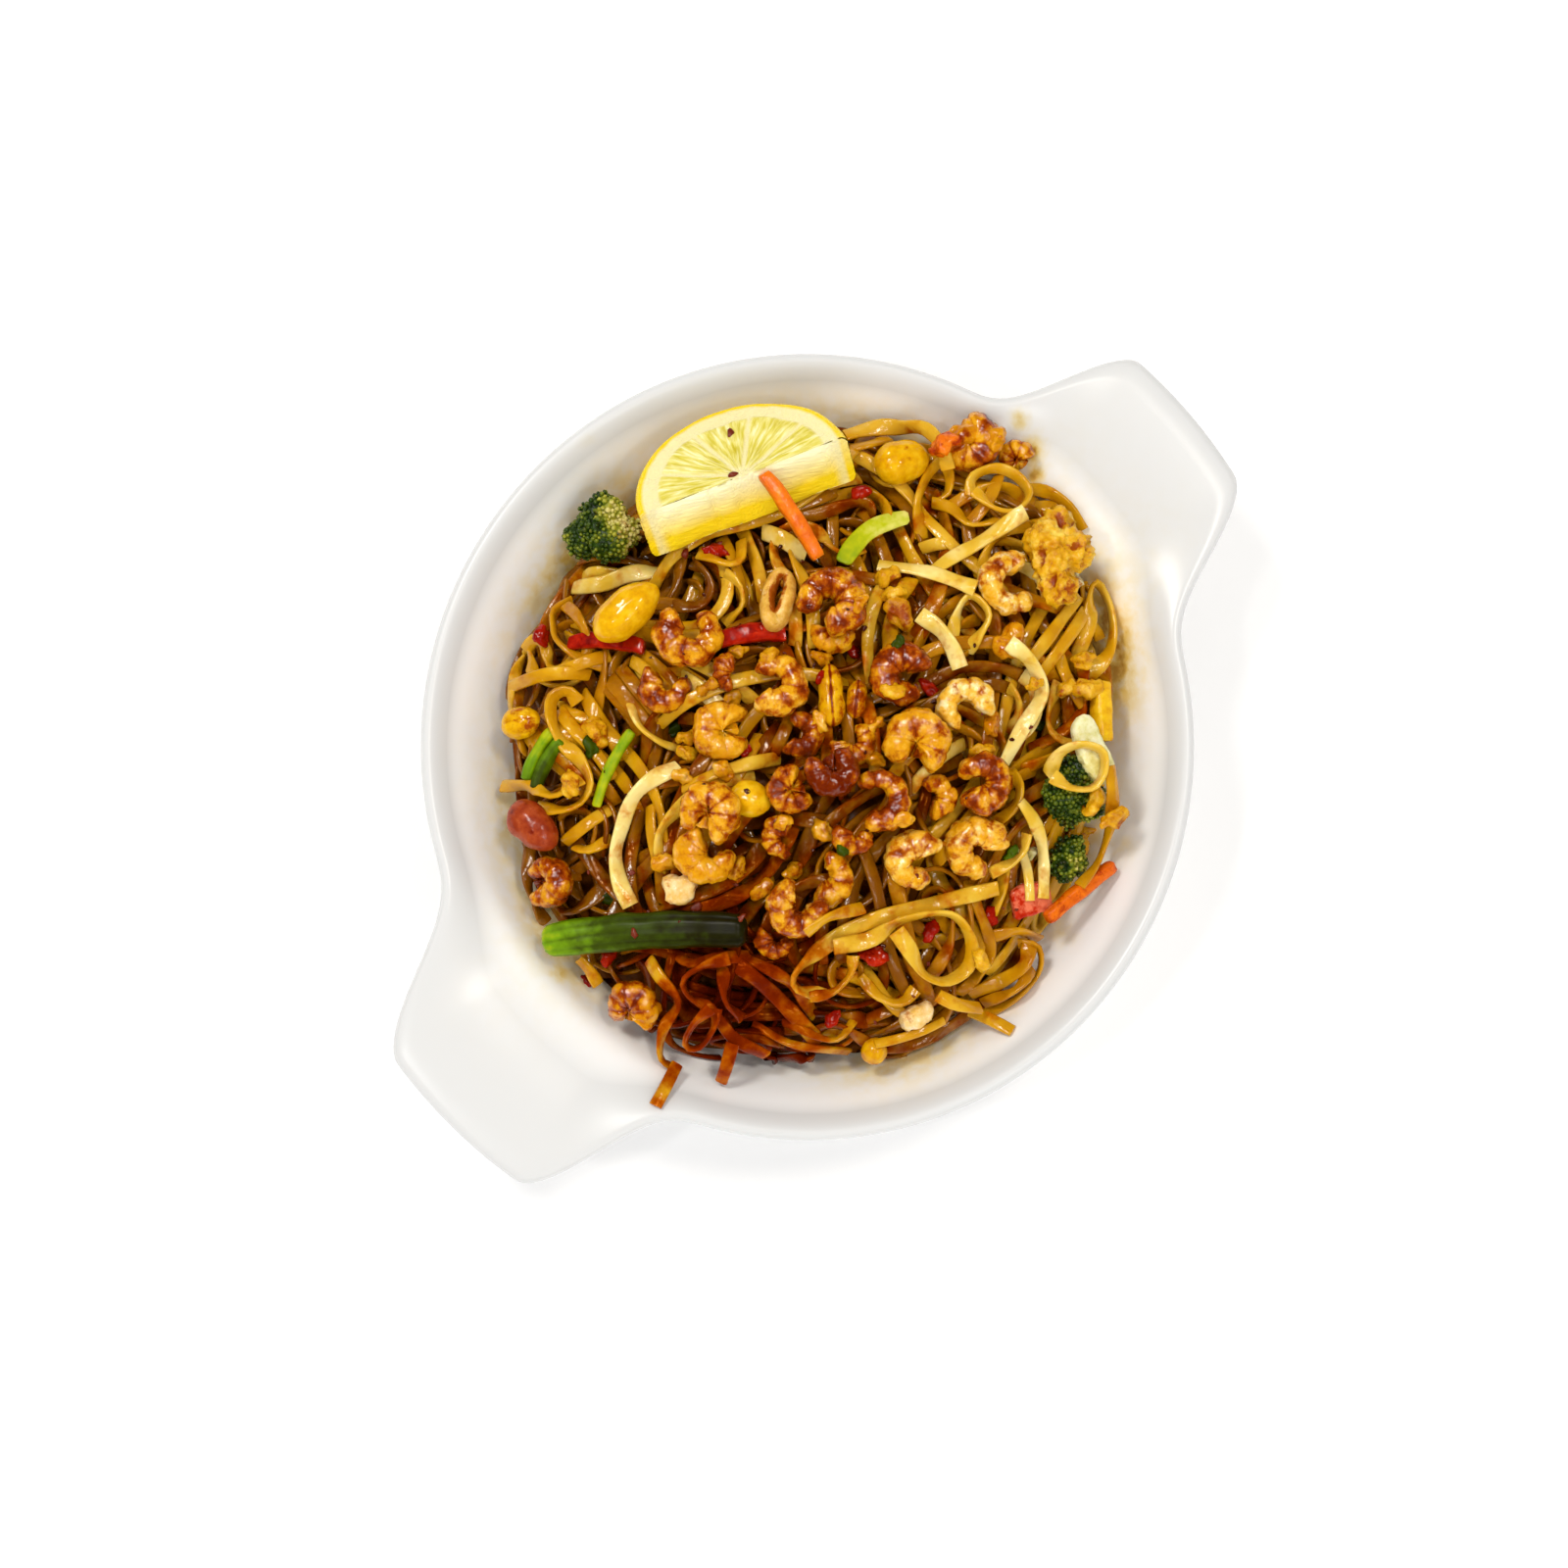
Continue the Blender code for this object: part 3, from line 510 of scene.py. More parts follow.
def oilAt(turn, radius):
    # how oily the glaze is: a fringe just beyond the food that fades within a few millimetres
    beyond = radius - heapEdge(turn) - dish["fringeStart"]
    return min(1.0, withBumps(dish["film"], dish["oil"], turn) * math.exp(-max(beyond, 0) / dish["fringeFade"]))


def splashAt(x, y):
    return max(strength * math.exp(-((x - px) ** 2 + (y - py) ** 2) / size ** 2)
               for px, py, size, strength in dish["splashes"])


def makeDish():
    profile = [Vector(p) for p in dish["inside"] + dish["outside"]]
    rows = [(p[0], p[1], p[2]) for p in smoothCourse([np.array(p) for p in profile], dish["profileStep"])]
    rows[0] = (0.0, rows[0][1], 0.0)
    rows += dish["foot"]
    body = newBody("reachShare", "inner", "stain")
    reachLayer, innerLayer, stainLayer = body.verts.layers.float.values()
    crest = max(range(len(rows)), key=lambda i: rows[i][1])
    corners = [body.verts.new((radius, 0, height)) for radius, height, share in rows]
    edges = [body.edges.new(pair) for pair in zip(corners, corners[1:])]
    for i, corner in enumerate(corners):
        corner[reachLayer] = rows[i][2]
        # inside share: the oil stain and the painted light that whitens the inside both follow it
        corner[innerLayer] = 1.0 - rows[i][2] if i < crest else 0.0
    bmesh.ops.spin(body, geom=corners + edges, axis=(0, 0, 1), cent=(0, 0, 0), angle=math.tau,
                   steps=dish["steps"], use_merge=True)
    bmesh.ops.remove_doubles(body, verts=body.verts, dist=0.001)
    for corner in body.verts:
        radius, height = math.hypot(corner.co.x, corner.co.y), corner.co.z
        turn = math.atan2(corner.co.y, corner.co.x)
        turn -= dish["earDetail"] * math.sin(2 * turn) / 2
        share, reach = corner[reachLayer], earReach(math.degrees(turn))
        oil = oilAt(turn, radius)
        radius += share * reach
        splash = splashAt(radius * math.cos(turn), radius * math.sin(turn))
        corner[stainLayer] = max(oil, splash) * corner[innerLayer]
        corner.co = Vector((radius * math.cos(turn), radius * math.sin(turn),
                            height + dish["earLift"] * share * reach / dish["ears"][0][4]))
    bmesh.ops.transform(body, matrix=ovalTurn(), verts=body.verts)
    finishPiece("dishGlazed", body, "porcelain", "porcelain", ["dish"], sharp=55)


makeDish()
print("dish made")


# shrimps

shrimpParts = {
    "sides": 26, "steps": 96, "lobes": 6, "lobeDepth": 0.15, "fullness": 1.1, "plump": 1.1, "rise": 0.25,
    # how far along it is fullest, how thin it is at the head end and how much it loses towards the tail
    "fullest": 0.3, "headShare": 0.86, "tailLoss": 0.36,
    # over what share each end is drawn in, and what stays of it at the very end
    "headEnd": (0.06, 0.12), "tailEnd": (0.09, 0.1),
    # width in radians and depth: the cut along the back, and the legs' side pinched in towards the hole
    "backCut": (0.22, 0.10), "legPinch": (0.5, 0.10),
    # height and size of the uneven swellings, and what each adds to the seed
    "unevenness": ((0.9, 5.0, 0), (0.45, 1.7, 5), (0.16, 0.8, 9)),
    # outer radius, heading of the open side, turn, thickness share, sauce, tone
    "shrimps": {
        "shrimp_01": (9.3, 50, 310, 0.40, 0.42, 0.45), "shrimp_02": (7.5, 35, 270, 0.44, 0.44, 0.45),
        "shrimp_03": (8.8, 140, 290, 0.40, 0.36, 0.62), "shrimp_04": (8.5, 325, 315, 0.47, 0.26, 0.50),
        "shrimp_05": (9.5, 190, 315, 0.42, 0.45, 0.50), "shrimp_06": (6.5, 45, 210, 0.44, 0.36, 0.45),
        "shrimp_07": (8.8, 300, 310, 0.44, 0.56, 0.45), "shrimp_08": (9.0, 335, 280, 0.36, 0.26, 0.80),
        "shrimp_09": (8.0, 255, 280, 0.38, 0.20, 0.85), "shrimp_10": (9.2, 220, 315, 0.47, 0.27, 0.52),
        "shrimp_11": (8.3, 145, 315, 0.44, 0.46, 0.52), "shrimp_12": (8.8, 205, 315, 0.47, 0.32, 0.55),
        "shrimp_13": (6.8, 345, 280, 0.46, 0.50, 0.45), "shrimp_14": (7.5, 75, 300, 0.46, 0.74, 0.36),
        "shrimp_15": (8.6, 150, 270, 0.34, 0.48, 0.45), "shrimp_16": (8.3, 305, 290, 0.44, 0.26, 0.72),
        "shrimp_17": (9.0, 285, 310, 0.44, 0.28, 0.68), "shrimp_18": (8.3, 15, 280, 0.44, 0.44, 0.60),
        "shrimp_19": (7.6, 120, 205, 0.42, 0.30, 0.50), "shrimp_20": (5.5, 25, 240, 0.44, 0.52, 0.40),
        "shrimp_21": (7.3, 155, 315, 0.47, 0.48, 0.40), "shrimp_22": (9.0, 90, 290, 0.52, 0.40, 0.50),
        "shrimp_23": (6.8, 125, 260, 0.42, 0.56, 0.42), "shrimp_24": (6.3, 85, 270, 0.42, 0.44, 0.50),
        "shrimp_25": (6.3, 315, 220, 0.44, 0.44, 0.42), "shrimp_26": (8.0, 15, 280, 0.44, 0.24, 0.45),
        "shrimp_27": (8.6, 225, 290, 0.49, 0.34, 0.30), "shrimp_28": (6.2, 155, 240, 0.44, 0.40, 0.42),
        "shrimp_29": (6.0, 45, 240, 0.44, 0.56, 0.40), "shrimp_30": (5.5, 255, 220, 0.46, 0.38, 0.52),
    },
}


def roundedEnd(share, stretch, least):
    # full along the body, drawn in like a quarter circle over its last stretch
    return min(1.0, math.sqrt(max(0.0, 1 - (1 - min(share / stretch, 1)) ** 2)) * 0.9 + least)


def shrimpBody(size, turn, thicknessShare, seed):
    # a ring of corners spun round as far as the curl goes, then fattened, lobed and drawn in at its ends
    rand = random.Random(seed)
    thick = size * shrimpParts["fullness"] * thicknessShare * shrimpParts["plump"]
    ringRadius = size * shrimpParts["fullness"] - thick
    start = math.radians(180 - turn / 2)
    body = bmesh.new()
    ring = bmesh.ops.create_circle(body, segments=shrimpParts["sides"], radius=thick, cap_ends=False)["verts"]
    stand = (Matrix.Rotation(start, 4, "Z") @ Matrix.Translation((ringRadius, 0, 0))
             @ Matrix.Rotation(math.pi / 2, 4, "X"))
    bmesh.ops.transform(body, matrix=stand, verts=ring)
    bmesh.ops.spin(body, geom=body.verts[:] + body.edges[:], axis=(0, 0, 1), cent=(0, 0, 0),
                   angle=math.radians(turn), steps=shrimpParts["steps"])
    bmesh.ops.remove_doubles(body, verts=body.verts, dist=0.0005)
    bmesh.ops.holes_fill(body, edges=[e for e in body.edges if e.is_boundary], sides=0)
    grooveLayer = body.verts.layers.float.new("groove")
    fullest = shrimpParts["fullest"]
    headLoss = 1 - shrimpParts["headShare"]
    (backWidth, backDepth), (legWidth, legDepth) = shrimpParts["backCut"], shrimpParts["legPinch"]
    lobes = shrimpParts["lobes"] + rand.choice((-1, 0, 0, 1))
    phase = rand.uniform(0, 0.3)
    for vert in body.verts:
        angle = (math.atan2(vert.co.y, vert.co.x) - start) % math.tau
        if angle > math.radians(turn) + 0.03:
            angle -= math.tau
        share = clamped(angle / math.radians(turn))
        middle = Vector((ringRadius * math.cos(start + angle), ringRadius * math.sin(start + angle), 0))
        spoke = vert.co - middle
        outward = middle.normalized()
        around = math.atan2(spoke.z, spoke.dot(outward))
        if share < fullest:
            girth = shrimpParts["headShare"] + headLoss * math.sin(math.pi / 2 * share / fullest)
        else:
            girth = 1 - shrimpParts["tailLoss"] * ((share - fullest) / (1 - fullest)) ** 1.5
        # the cut head end is blunt, the tail runs out
        girth *= roundedEnd(share, *shrimpParts["headEnd"]) * roundedEnd(1 - share, *shrimpParts["tailEnd"])
        # rounded shell segments, deepest at the outside and sides
        wave = abs(math.sin(math.pi * (lobes * share + phase + 0.10 * math.sin(around))))
        lobe = wave ** 0.55
        outside = 0.5 + 0.5 * math.cos(around)
        depth = shrimpParts["lobeDepth"] * (0.45 + 0.55 * outside) * (1 - 0.5 * share ** 3)
        back = bellAt(around, backWidth) * backDepth
        legs = legDepth * bellAt(abs(around) - math.pi, legWidth)
        vert.co = middle + spoke * (girth * (1 - depth * (1 - lobe)) * (1 - back) * (1 - legs))
        vert.co.z += size * shrimpParts["rise"] * (0.5 - share)
        vert[grooveLayer] = min(1.0, (1 - lobe) * 0.5 + back * 1.5)
    for height, width, more in shrimpParts["unevenness"]:
        roughen(body, height, width, seed + more)
    return body


def makeShrimps():
    for seed, (node, spec) in enumerate(shrimpParts["shrimps"].items(), 1):
        size, heading, turn, thickness, sauce, tone = spec
        body = shrimpBody(size, turn, thickness, seed)
        setOver(body, node, heading)
        dressNode(node, body, "shrimp", "shrimp", sauce=sauce, tone=tone)


makeShrimps()
print("shrimps made:", len(shrimpParts["shrimps"]))


# peanuts

peanuts = {
    "detail": 5,
    # how far the waist and the seam spread, height for width, how much one end and its point differ
    "waistWidth": 0.35, "seamWidth": 0.09, "flatness": 0.92, "taper": 0.06, "nose": 0.06,
    # heading, length, width, waist, seam depth, sauce, tone
    "nuts": {
        "peanut_large": (-5, 20.4, 12.2, 0.02, 0.02, 0.02, 0.62),
        "peanut_far": (-25, 15.0, 12.6, 0.03, 0.05, 0.04, 0.60),
        "peanut_red_skin": (-85, 16.5, 12.0, 0.05, 0.03, 0.16, 0.50),
        "peanut_bright": (-65, 10.5, 9.5, 0.0, 0.03, 0.04, 0.70),
        "peanut_low": (35, 7.5, 7.0, 0.0, 0.02, 0.20, 0.40),
        "peanut_left": (-35, 11.0, 9.0, 0.02, 0.06, 0.24, 0.62),
        "peanut_half_long": (50, 16.0, 8.0, 0.10, 0.20, 0.28, 0.52),
        "peanut_half_small": (40, 10.0, 6.0, 0.06, 0.16, 0.40, 0.40),
    },
}


def makePeanuts():
    for index, (node, spec) in enumerate(peanuts["nuts"].items()):
        heading, length, width, waist, seam, sauce, tone = spec
        body = ballBody(peanuts["detail"], 1.0, "groove")
        grooveLayer = body.verts.layers.float["groove"]
        for vert in body.verts:
            x, y, z = vert.co
            pinch = 1 - waist * 2 * bellAt(x, peanuts["waistWidth"])
            # the seam between the two halves, faint below, and a point at one end
            cut = bellAt(y, peanuts["seamWidth"]) * (1 if z > -0.2 else 0.3)
            nose = 1 + peanuts["nose"] * max(0.0, x) ** 6
            vert.co = Vector((x * length / 2 * nose, y * width / 2 * pinch * (1 - peanuts["taper"] * x),
                              z * width / 2 * peanuts["flatness"] * pinch * (1 - seam * cut)))
            vert[grooveLayer] = min(1.0, cut * seam * 5)
        roughen(body, 0.35, 5.0, index * 3.3)
        roughen(body, 0.10, 1.3, index * 1.7)
        setOver(body, node, heading)
        finish, slot = ("redSkin", "red_skin") if node == "peanut_red_skin" else ("peanut", "peanut")
        dressNode(node, body, finish, slot, sauce=sauce, tone=tone)


makePeanuts()
print("peanuts made:", len(peanuts["nuts"]))


# the lemon

lemon = {
    "radius": 28.0, "thickness": 15.0, "heading": -22, "lean": 36, "middle": (37, 62),
    "peel": 1.9, "pith": 4.0, "core": 2.6,
    "wedges": 9, "wedgeTurn": 0.21, "turns": 150, "edge": 1.8,
    # how far the flesh swells out of its face, how deep its sacs are on the straight cut and on the round face,
    # and how far the round face has sunk
    "swell": 0.45, "cutSacs": 0.25, "faceSacs": 0.3, "sunk": 0.25,
}
lemon["flesh"] = lemon["radius"] - lemon["peel"] - lemon["pith"]


def lemonFlesh(name):
    # fresh lemon, cut: oily yellow peel, dry white pith, wet clear flesh in wedges of long juice sacs
    material, shader, place = newMaterial(name, {"Roughness": 0.2, "IOR": 1.38}, 0.2, (4, 3.5, 1.2))
    around, outwards, pulp, cutSide, depth = (
        addNode(material, "Attribute", {"attribute_name": key}).outputs["Fac"]
        for key in ("around", "outwards", "pulp", "cutSide", "depth"))
    # juice sacs run outwards: about 1 mm wide and 8 mm long
    fan = addNode(material, "CombineXYZ", {}, {
        axis: addNode(material, "Math", {"operation": "MULTIPLY", 1: stretch}, {0: number})
        for axis, (number, stretch) in enumerate(((around, 16.0), (outwards, 0.16), (depth, 0.5)))})
    sacs = addNode(material, "TexNoise", {"Scale": 1.0, "Detail": 3.0, "Distortion": 0.4}, {"Vector": fan})
    juice = addNode(material, "ValToRGB", {"stops": (
        (0.30, "c2ae24"), (0.42, "d4c448"), (0.54, "e4d878"), (0.70, "f4ecb4"))}, {0: sacs})
    pith = addNode(material, "Mix", {"data_type": "RGBA", 6: "ece0a4"}, {0: pulp, 7: juice})
    inner = lemon["radius"] - lemon["peel"]
    rind = addNode(material, "MapRange", {"From Min": inner - 0.5, "From Max": inner + 0.3}, {"Value": outwards})
    skin = addNode(material, "Mix", {"data_type": "RGBA", 7: "f0cc08"}, {0: rind, 6: pith})
    # painted light: the straight cut is painted pale at the upper edge and deeper yellow below, lifting the shade on
    # that face
    paintedLightFade = addNode(material, "MapRange", {"From Min": 6.0, "From Max": -3.0}, {"Value": depth})
    side = addNode(material, "Mix", {"data_type": "RGBA", 6: "fdf6c4", 7: "f6d41c"}, {0: paintedLightFade})
    whole = addNode(material, "Mix", {"data_type": "RGBA"}, {0: cutSide, 6: skin, 7: side})
    pores = addNode(material, "TexNoise", {"Scale": 1 / 0.8, "Detail": 2.0}, {"Vector": place})
    relief = addNode(material, "Mix", {"data_type": "FLOAT"}, {0: pulp, 2: pores, 3: sacs})
    bump = addNode(material, "Bump", {"Strength": 0.7, "Distance": 0.6 * metres}, {"Height": relief})
    return linkSurface(material, shader, whole, bump)


def wedgeShare(x, y):
    # 1 inside a wedge of flesh, 0 on the walls, the pith and the core
    radius, around = math.hypot(x, y), math.atan2(y, x)
    wave = 0.35 * math.sin(3 * around + 1) + 0.2 * math.sin(7 * around)
    edge = smoothStep((lemon["flesh"] + wave - radius) / 0.9)
    core = smoothStep((radius - lemon["core"]) / 1.6)
    step = math.tau / lemon["wedges"]
    offset = (around + lemon["wedgeTurn"]) % step
    wall = min(offset, step - offset) * radius
    return edge * core * smoothStep((wall - 0.22) / 0.75)


def makeLemon():
    finishes["lemon"] = lemonFlesh("cutLemon")
    radius, half = lemon["radius"], lemon["thickness"] / 2
    edge = lemon["edge"]
    side = [(r, half) for r in np.arange(0, radius - edge, 0.55)]
    side += [(radius - edge + edge * math.sin(a), half - edge + edge * math.cos(a))
             for a in np.linspace(0, math.pi / 2, 6)]
    side += [(radius, z) for z in np.linspace(half - edge, -half + edge, 12)[1:-1]]
    side += [(radius - edge + edge * math.cos(a), -half + edge - edge * math.sin(a))
             for a in np.linspace(0, math.pi / 2, 5)]
    side += [(r, -half) for r in np.linspace(radius - edge, 0, 14)[1:]]
    body = newBody("around", "outwards", "pulp", "depth", "cutSide")
    around, outwards, flesh, depth, cutSide = body.verts.layers.float.values()
    corners = [body.verts.new((r, 0, z)) for r, z in side]
    edges = [body.edges.new(pair) for pair in zip(corners, corners[1:])]
    bmesh.ops.spin(body, geom=corners + edges, axis=(0, 0, 1), cent=(0, 0, 0), angle=math.pi,
                   steps=lemon["turns"])
    bmesh.ops.remove_doubles(body, verts=body.verts, dist=0.0005)
    # the straight cut: a fine sheet across the diameter
    sheet = bmesh.ops.create_grid(body, x_segments=100, y_segments=25, size=0.5)["verts"]
    bmesh.ops.transform(body, verts=sheet, matrix=Matrix.Rotation(math.pi / 2, 4, "X")
                        @ Matrix.Diagonal((2 * radius, 2 * half, 1, 1)))
    for vert in sheet:
        # rounded at the sheet's ends, where the peel turns
        over = max(0.0, abs(vert.co.x) - (radius - edge)) / edge
        limit = half - edge + edge * math.sqrt(max(0.0, 1 - over * over))
        vert.co.z = max(-limit, min(limit, vert.co.z))
    inSheet = set(sheet)
    for vert in body.verts:
        x, y, z = vert.co
        onSheet = vert in inSheet
        pulp = wedgeShare(x, max(y, 0.0)) if abs(z) > half - 0.01 else 0.0
        if onSheet:
            # cut through the wedges: flesh between pith at the skin and the white core
            pulp = smoothStep((lemon["flesh"] - abs(x)) / 1.0)
            pulp *= smoothStep((abs(x) - lemon["core"]) / 1.4) * smoothStep((abs(x + 9) - 0.4) / 0.9)
            pulp *= 0.55 + 0.45 * smoothStep((noise.noise(Vector((x / 6, z / 9, 4))) + 0.35) / 0.4)
        vert[around] = z * 0.09 + x * 0.02 if onSheet else math.atan2(y, x)
        vert[outwards] = abs(x) if onSheet else math.hypot(x, y)
        vert[flesh] = pulp
        vert[depth] = z
        # the ends of the straight cut stay pale where it passes through the pith
        ends = smoothStep((radius - 3.0 - abs(x)) / 2.5)
        vert[cutSide] = (0.35 + 0.65 * ends) if onSheet else 0.0
        # both faces stay flat where they meet
        if onSheet:
            fade = smoothStep((half - abs(z)) / 1.5)
            sac = noise.noise(Vector((x / 3, z / 3, 1)))
            vert.co.y -= fade * (lemon["swell"] * pulp - lemon["cutSacs"] * sac)
        elif z > half - 0.01:
            fade = smoothStep(y / 1.5)
            sac = noise.noise(Vector((math.atan2(y, x) * 9, math.hypot(x, y) / 5, 2)))
            vert.co.z += fade * (lemon["swell"] * pulp - lemon["sunk"] + lemon["faceSacs"] * sac)
    bmesh.ops.remove_doubles(body, verts=body.verts, dist=0.12)
    roughen(body, 0.5, 11.0, 2.0)
    bmesh.ops.translate(body, vec=(0, -radius / 2, 0), verts=body.verts)
    setOver(body, "lemon_slice", lemon["heading"], lean=lemon["lean"], leanHeading=lemon["heading"] + 90, fit=False)
    finishPiece("lemonHalfSlice", body, "lemon", "lemon", ["lemon_slice"], sharp=50)


makeLemon()
print("lemon made")


# florets, egg and small chunks

lumps = {
    # finish, slot, size, then the balls that the form grows from
    "broccoli_left": ("broccoli", "broccoli", 9.5, (
        (0.35, 0.3, 0.2, 0.62), (-0.4, 0.3, 0.1, 0.55), (0.0, -0.45, 0.15, 0.55),
        (0.0, 0.0, 0.4, 0.5), (-0.1, 0.6, -0.1, 0.4), (0.5, -0.35, -0.1, 0.4))),
    "broccoli_right": ("broccoli", "broccoli", 9.0, (
        (0.3, 0.4, 0.2, 0.6), (-0.35, 0.2, 0.2, 0.6), (0.1, -0.45, 0.1, 0.6),
        (0.6, -0.1, -0.1, 0.4), (-0.5, -0.4, -0.1, 0.4))),
    "broccoli_low": ("broccoli", "broccoli", 6.2, (
        (0.3, 0.3, 0.1, 0.65), (-0.4, 0.0, 0.2, 0.6), (0.2, -0.5, 0.0, 0.5))),
    "egg_cluster": ("egg", "egg", 13.0, (
        (0.5, 0.5, 0.0, 0.38), (-0.55, -0.5, 0.05, 0.36), (-0.1, 0.35, 0.15, 0.4),
        (0.2, -0.1, 0.2, 0.42), (-0.3, -0.1, 0.1, 0.4))),
    "sauced_chunk": ("shrimp", "shrimp", 5.5, (
        (0.5, 0.2, 0.0, 0.55), (-0.4, 0.1, 0.1, 0.6), (0.0, -0.4, 0.0, 0.5))),
    "pink_chunk": ("paleFood", "pale_food", 5.2, (
        (0.5, 0.3, 0.0, 0.55), (-0.4, 0.3, 0.0, 0.5), (0.0, -0.4, 0.1, 0.6))),
    "pale_chunk": ("paleFood", "pale_food", 5.6, (
        (0.6, 0.1, 0.0, 0.45), (-0.6, -0.1, 0.0, 0.45), (0.0, 0.1, 0.1, 0.55))),
}


def lumpBody(size, balls, detail):
    # the outer form of balls grown together, as seen from their middle
    body = ballBody(detail, 1.0, "groove", "tone")
    for vert in body.verts:
        ray, reach = vert.co.normalized(), 0.45
        for x, y, z, radius in balls:
            middle = Vector((x, y, z))
            along = ray.dot(middle)
            inside = along * along - middle.length_squared + radius * radius
            if inside > 0:
                reach = max(reach, along + math.sqrt(inside))
        vert.co = ray * reach * size
    for _ in range(2):
        bmesh.ops.smooth_vert(body, verts=body.verts, factor=0.5, use_axis_x=True, use_axis_y=True, use_axis_z=True)
    return body


# the florets' buds, and the side of each floret painted paler as painted light: where it looks and how much paler it
# is
buds = {"apart": 0.95, "sizes": (0.5, 0.85), "raised": 0.35, "lowest": -0.35}
paintedLitSides = {"broccoli_left": ((0.85, -0.4, 0.5), 1.0), "broccoli_right": ((0, -1, 0.2), 0.3),
             "broccoli_low": ((0.3, -0.6, 0.5), 0.8)}
# heading, sauce and tone of each chunk
chunks = {"sauced_chunk": (0, 0.34, 0.35), "pink_chunk": (-40, 0.2, 0.6), "pale_chunk": (-20, 0.2, 0.62)}


def addBuds(body, rand):
    # hundreds of tiny buds pressed into the floret's upper side; each has a few dozen faces
    groove, tone = body.verts.layers.float["groove"], body.verts.layers.float["tone"]
    body.normal_update()
    seats = [(v.co.copy(), v.normal.copy(), v[tone]) for v in body.verts]
    rand.shuffle(seats)
    placed = []
    for seat, normal, shade in seats:
        if normal.z < buds["lowest"] or any((seat - other).length < buds["apart"] for other in placed):
            continue
        placed.append(seat)
        radius = rand.uniform(*buds["sizes"])
        place = Matrix.Translation(seat + normal * radius * buds["raised"])
        for vert in bmesh.ops.create_icosphere(body, subdivisions=1, radius=radius, matrix=place)["verts"]:
            # painted light and shade: bud tops are paler and their lower sides darker
            high = (vert.co - seat).dot(normal) / radius
            vert[tone] = clamped(shade + 0.16 * high + rand.uniform(-0.1, 0.14))
            vert[groove] = 0.0


def makeFloret(node, body, index, rand):
    roughen(body, 1.4, 2.6, index)
    setOver(body, node, 0)
    middle = nodeMiddle(node)
    towards, paintedLift = paintedLitSides[node]
    towards = Vector(towards).normalized()
    # painted light: the side of each floret towards the light is paler
    setLayer(body, "tone", lambda v: 0.20 + 0.22 * noise.noise(v.co / 3)
             + paintedLift * max(0.0, (v.co - middle).normalized().dot(towards) - 0.35))
    addBuds(body, rand)
    return {"sauce": 0.16}


def makeEgg(node, body):
    # crumpled along ridges, its sunken folds darker: partly browning, partly painted shade
    setOver(body, node, 0)
    body.normal_update()
    grooveLayer = body.verts.layers.float["groove"]
    ridges = [noise.ridged_multi_fractal(v.co / 4.0, 0.7, 2.2, 5, 1.0, 1.8) for v in body.verts]
    middle = sum(ridges) / len(ridges)
    for vert, ridge in zip(body.verts, ridges):
        vert.co += vert.normal * clamped((ridge - middle) * 2.0, -2.0, 2.2)
        vert[grooveLayer] = clamped((middle - ridge) * 0.9)
    return {"tone": lambda v: 0.62 + 0.3 * noise.noise(v.co / 5), "sauce": 0.22}


def makeChunk(node, body, index, size, blocky):
    if blocky:
        # cut with a knife, so nearly a block
        for vert in body.verts:
            block = vert.co / max(abs(c) / w for c, w in zip(vert.co, (1, 0.7, 0.6))) * size * 0.8
            vert.co = vert.co.lerp(block, 0.45)
    roughen(body, 0.5 if blocky else 0.9, 2.8, index)
    roughen(body, 0.2 if blocky else 0.4, 1.1, index)
    heading, sauce, tone = chunks[node]
    setOver(body, node, heading)
    return {"tone": tone, "sauce": sauce}


def makeLumps():
    for index, (node, (finish, slot, size, balls)) in enumerate(lumps.items()):
        # the larger ones have a finer skin
        body = lumpBody(size, balls, 5 if size > 9 else 4)
        if finish == "broccoli":
            numbers = makeFloret(node, body, index, random.Random(index + 40))
        elif finish == "egg":
            numbers = makeEgg(node, body)
        else:
            numbers = makeChunk(node, body, index, size, finish == "paleFood")
        dressNode(node, body, finish, slot, **numbers)


makeLumps()
print("florets, egg and chunks made:", len(lumps))


# sticks, leaves and the squid ring

squareSection = outline([(-0.5, -0.34), (-0.5, 0.34), (-0.4, 0.46), (-0.26, 0.5), (0.26, 0.5), (0.4, 0.46),
                         (0.5, 0.34), (0.5, -0.34), (0.4, -0.46), (0.26, -0.5), (-0.26, -0.5), (-0.4, -0.46)])
ringSection = roundSection(16)
ribSection = roundSection(48)

sticks = {
    # finish, slot, heading, pitch, length, width, height, bow, tone, sauce, tone change along
    "pepper_under_peanut": ("pepper", "red_pepper", -50, 0, 21.0, 4.6, 2.6, 1.5, 0.45, 0.22, 0.0),
    "pepper_middle": ("pepper", "red_pepper", -38, 0, 17.0, 5.0, 3.0, 1.2, 0.50, 0.24, 0.0),
    "pepper_right": ("pepper", "red_pepper", -30, 0, 10.5, 8.5, 3.2, 0.8, 0.92, 0.08, 0.10),
    "cabbage_piece": ("cabbage", "cabbage", 73, 0, 17.0, 7.0, 3.4, 1.0, 0.50, 0.06, 0.2),
    "yellow_stick": ("yellow", "yellow_veg", 47, 0, 15.5, 4.8, 4.8, 0.4, 0.50, 0.12, 0.0),
    "carrot_right": ("carrot", "carrot", -8, 0, 23.5, 3.8, 3.4, 0.5, 0.42, 0.22, -0.1),
    "carrot_on_lemon": ("carrot", "carrot", -97, -24, 25.0, 3.9, 3.5, 0.6, 0.60, 0.08, 0.0),
}


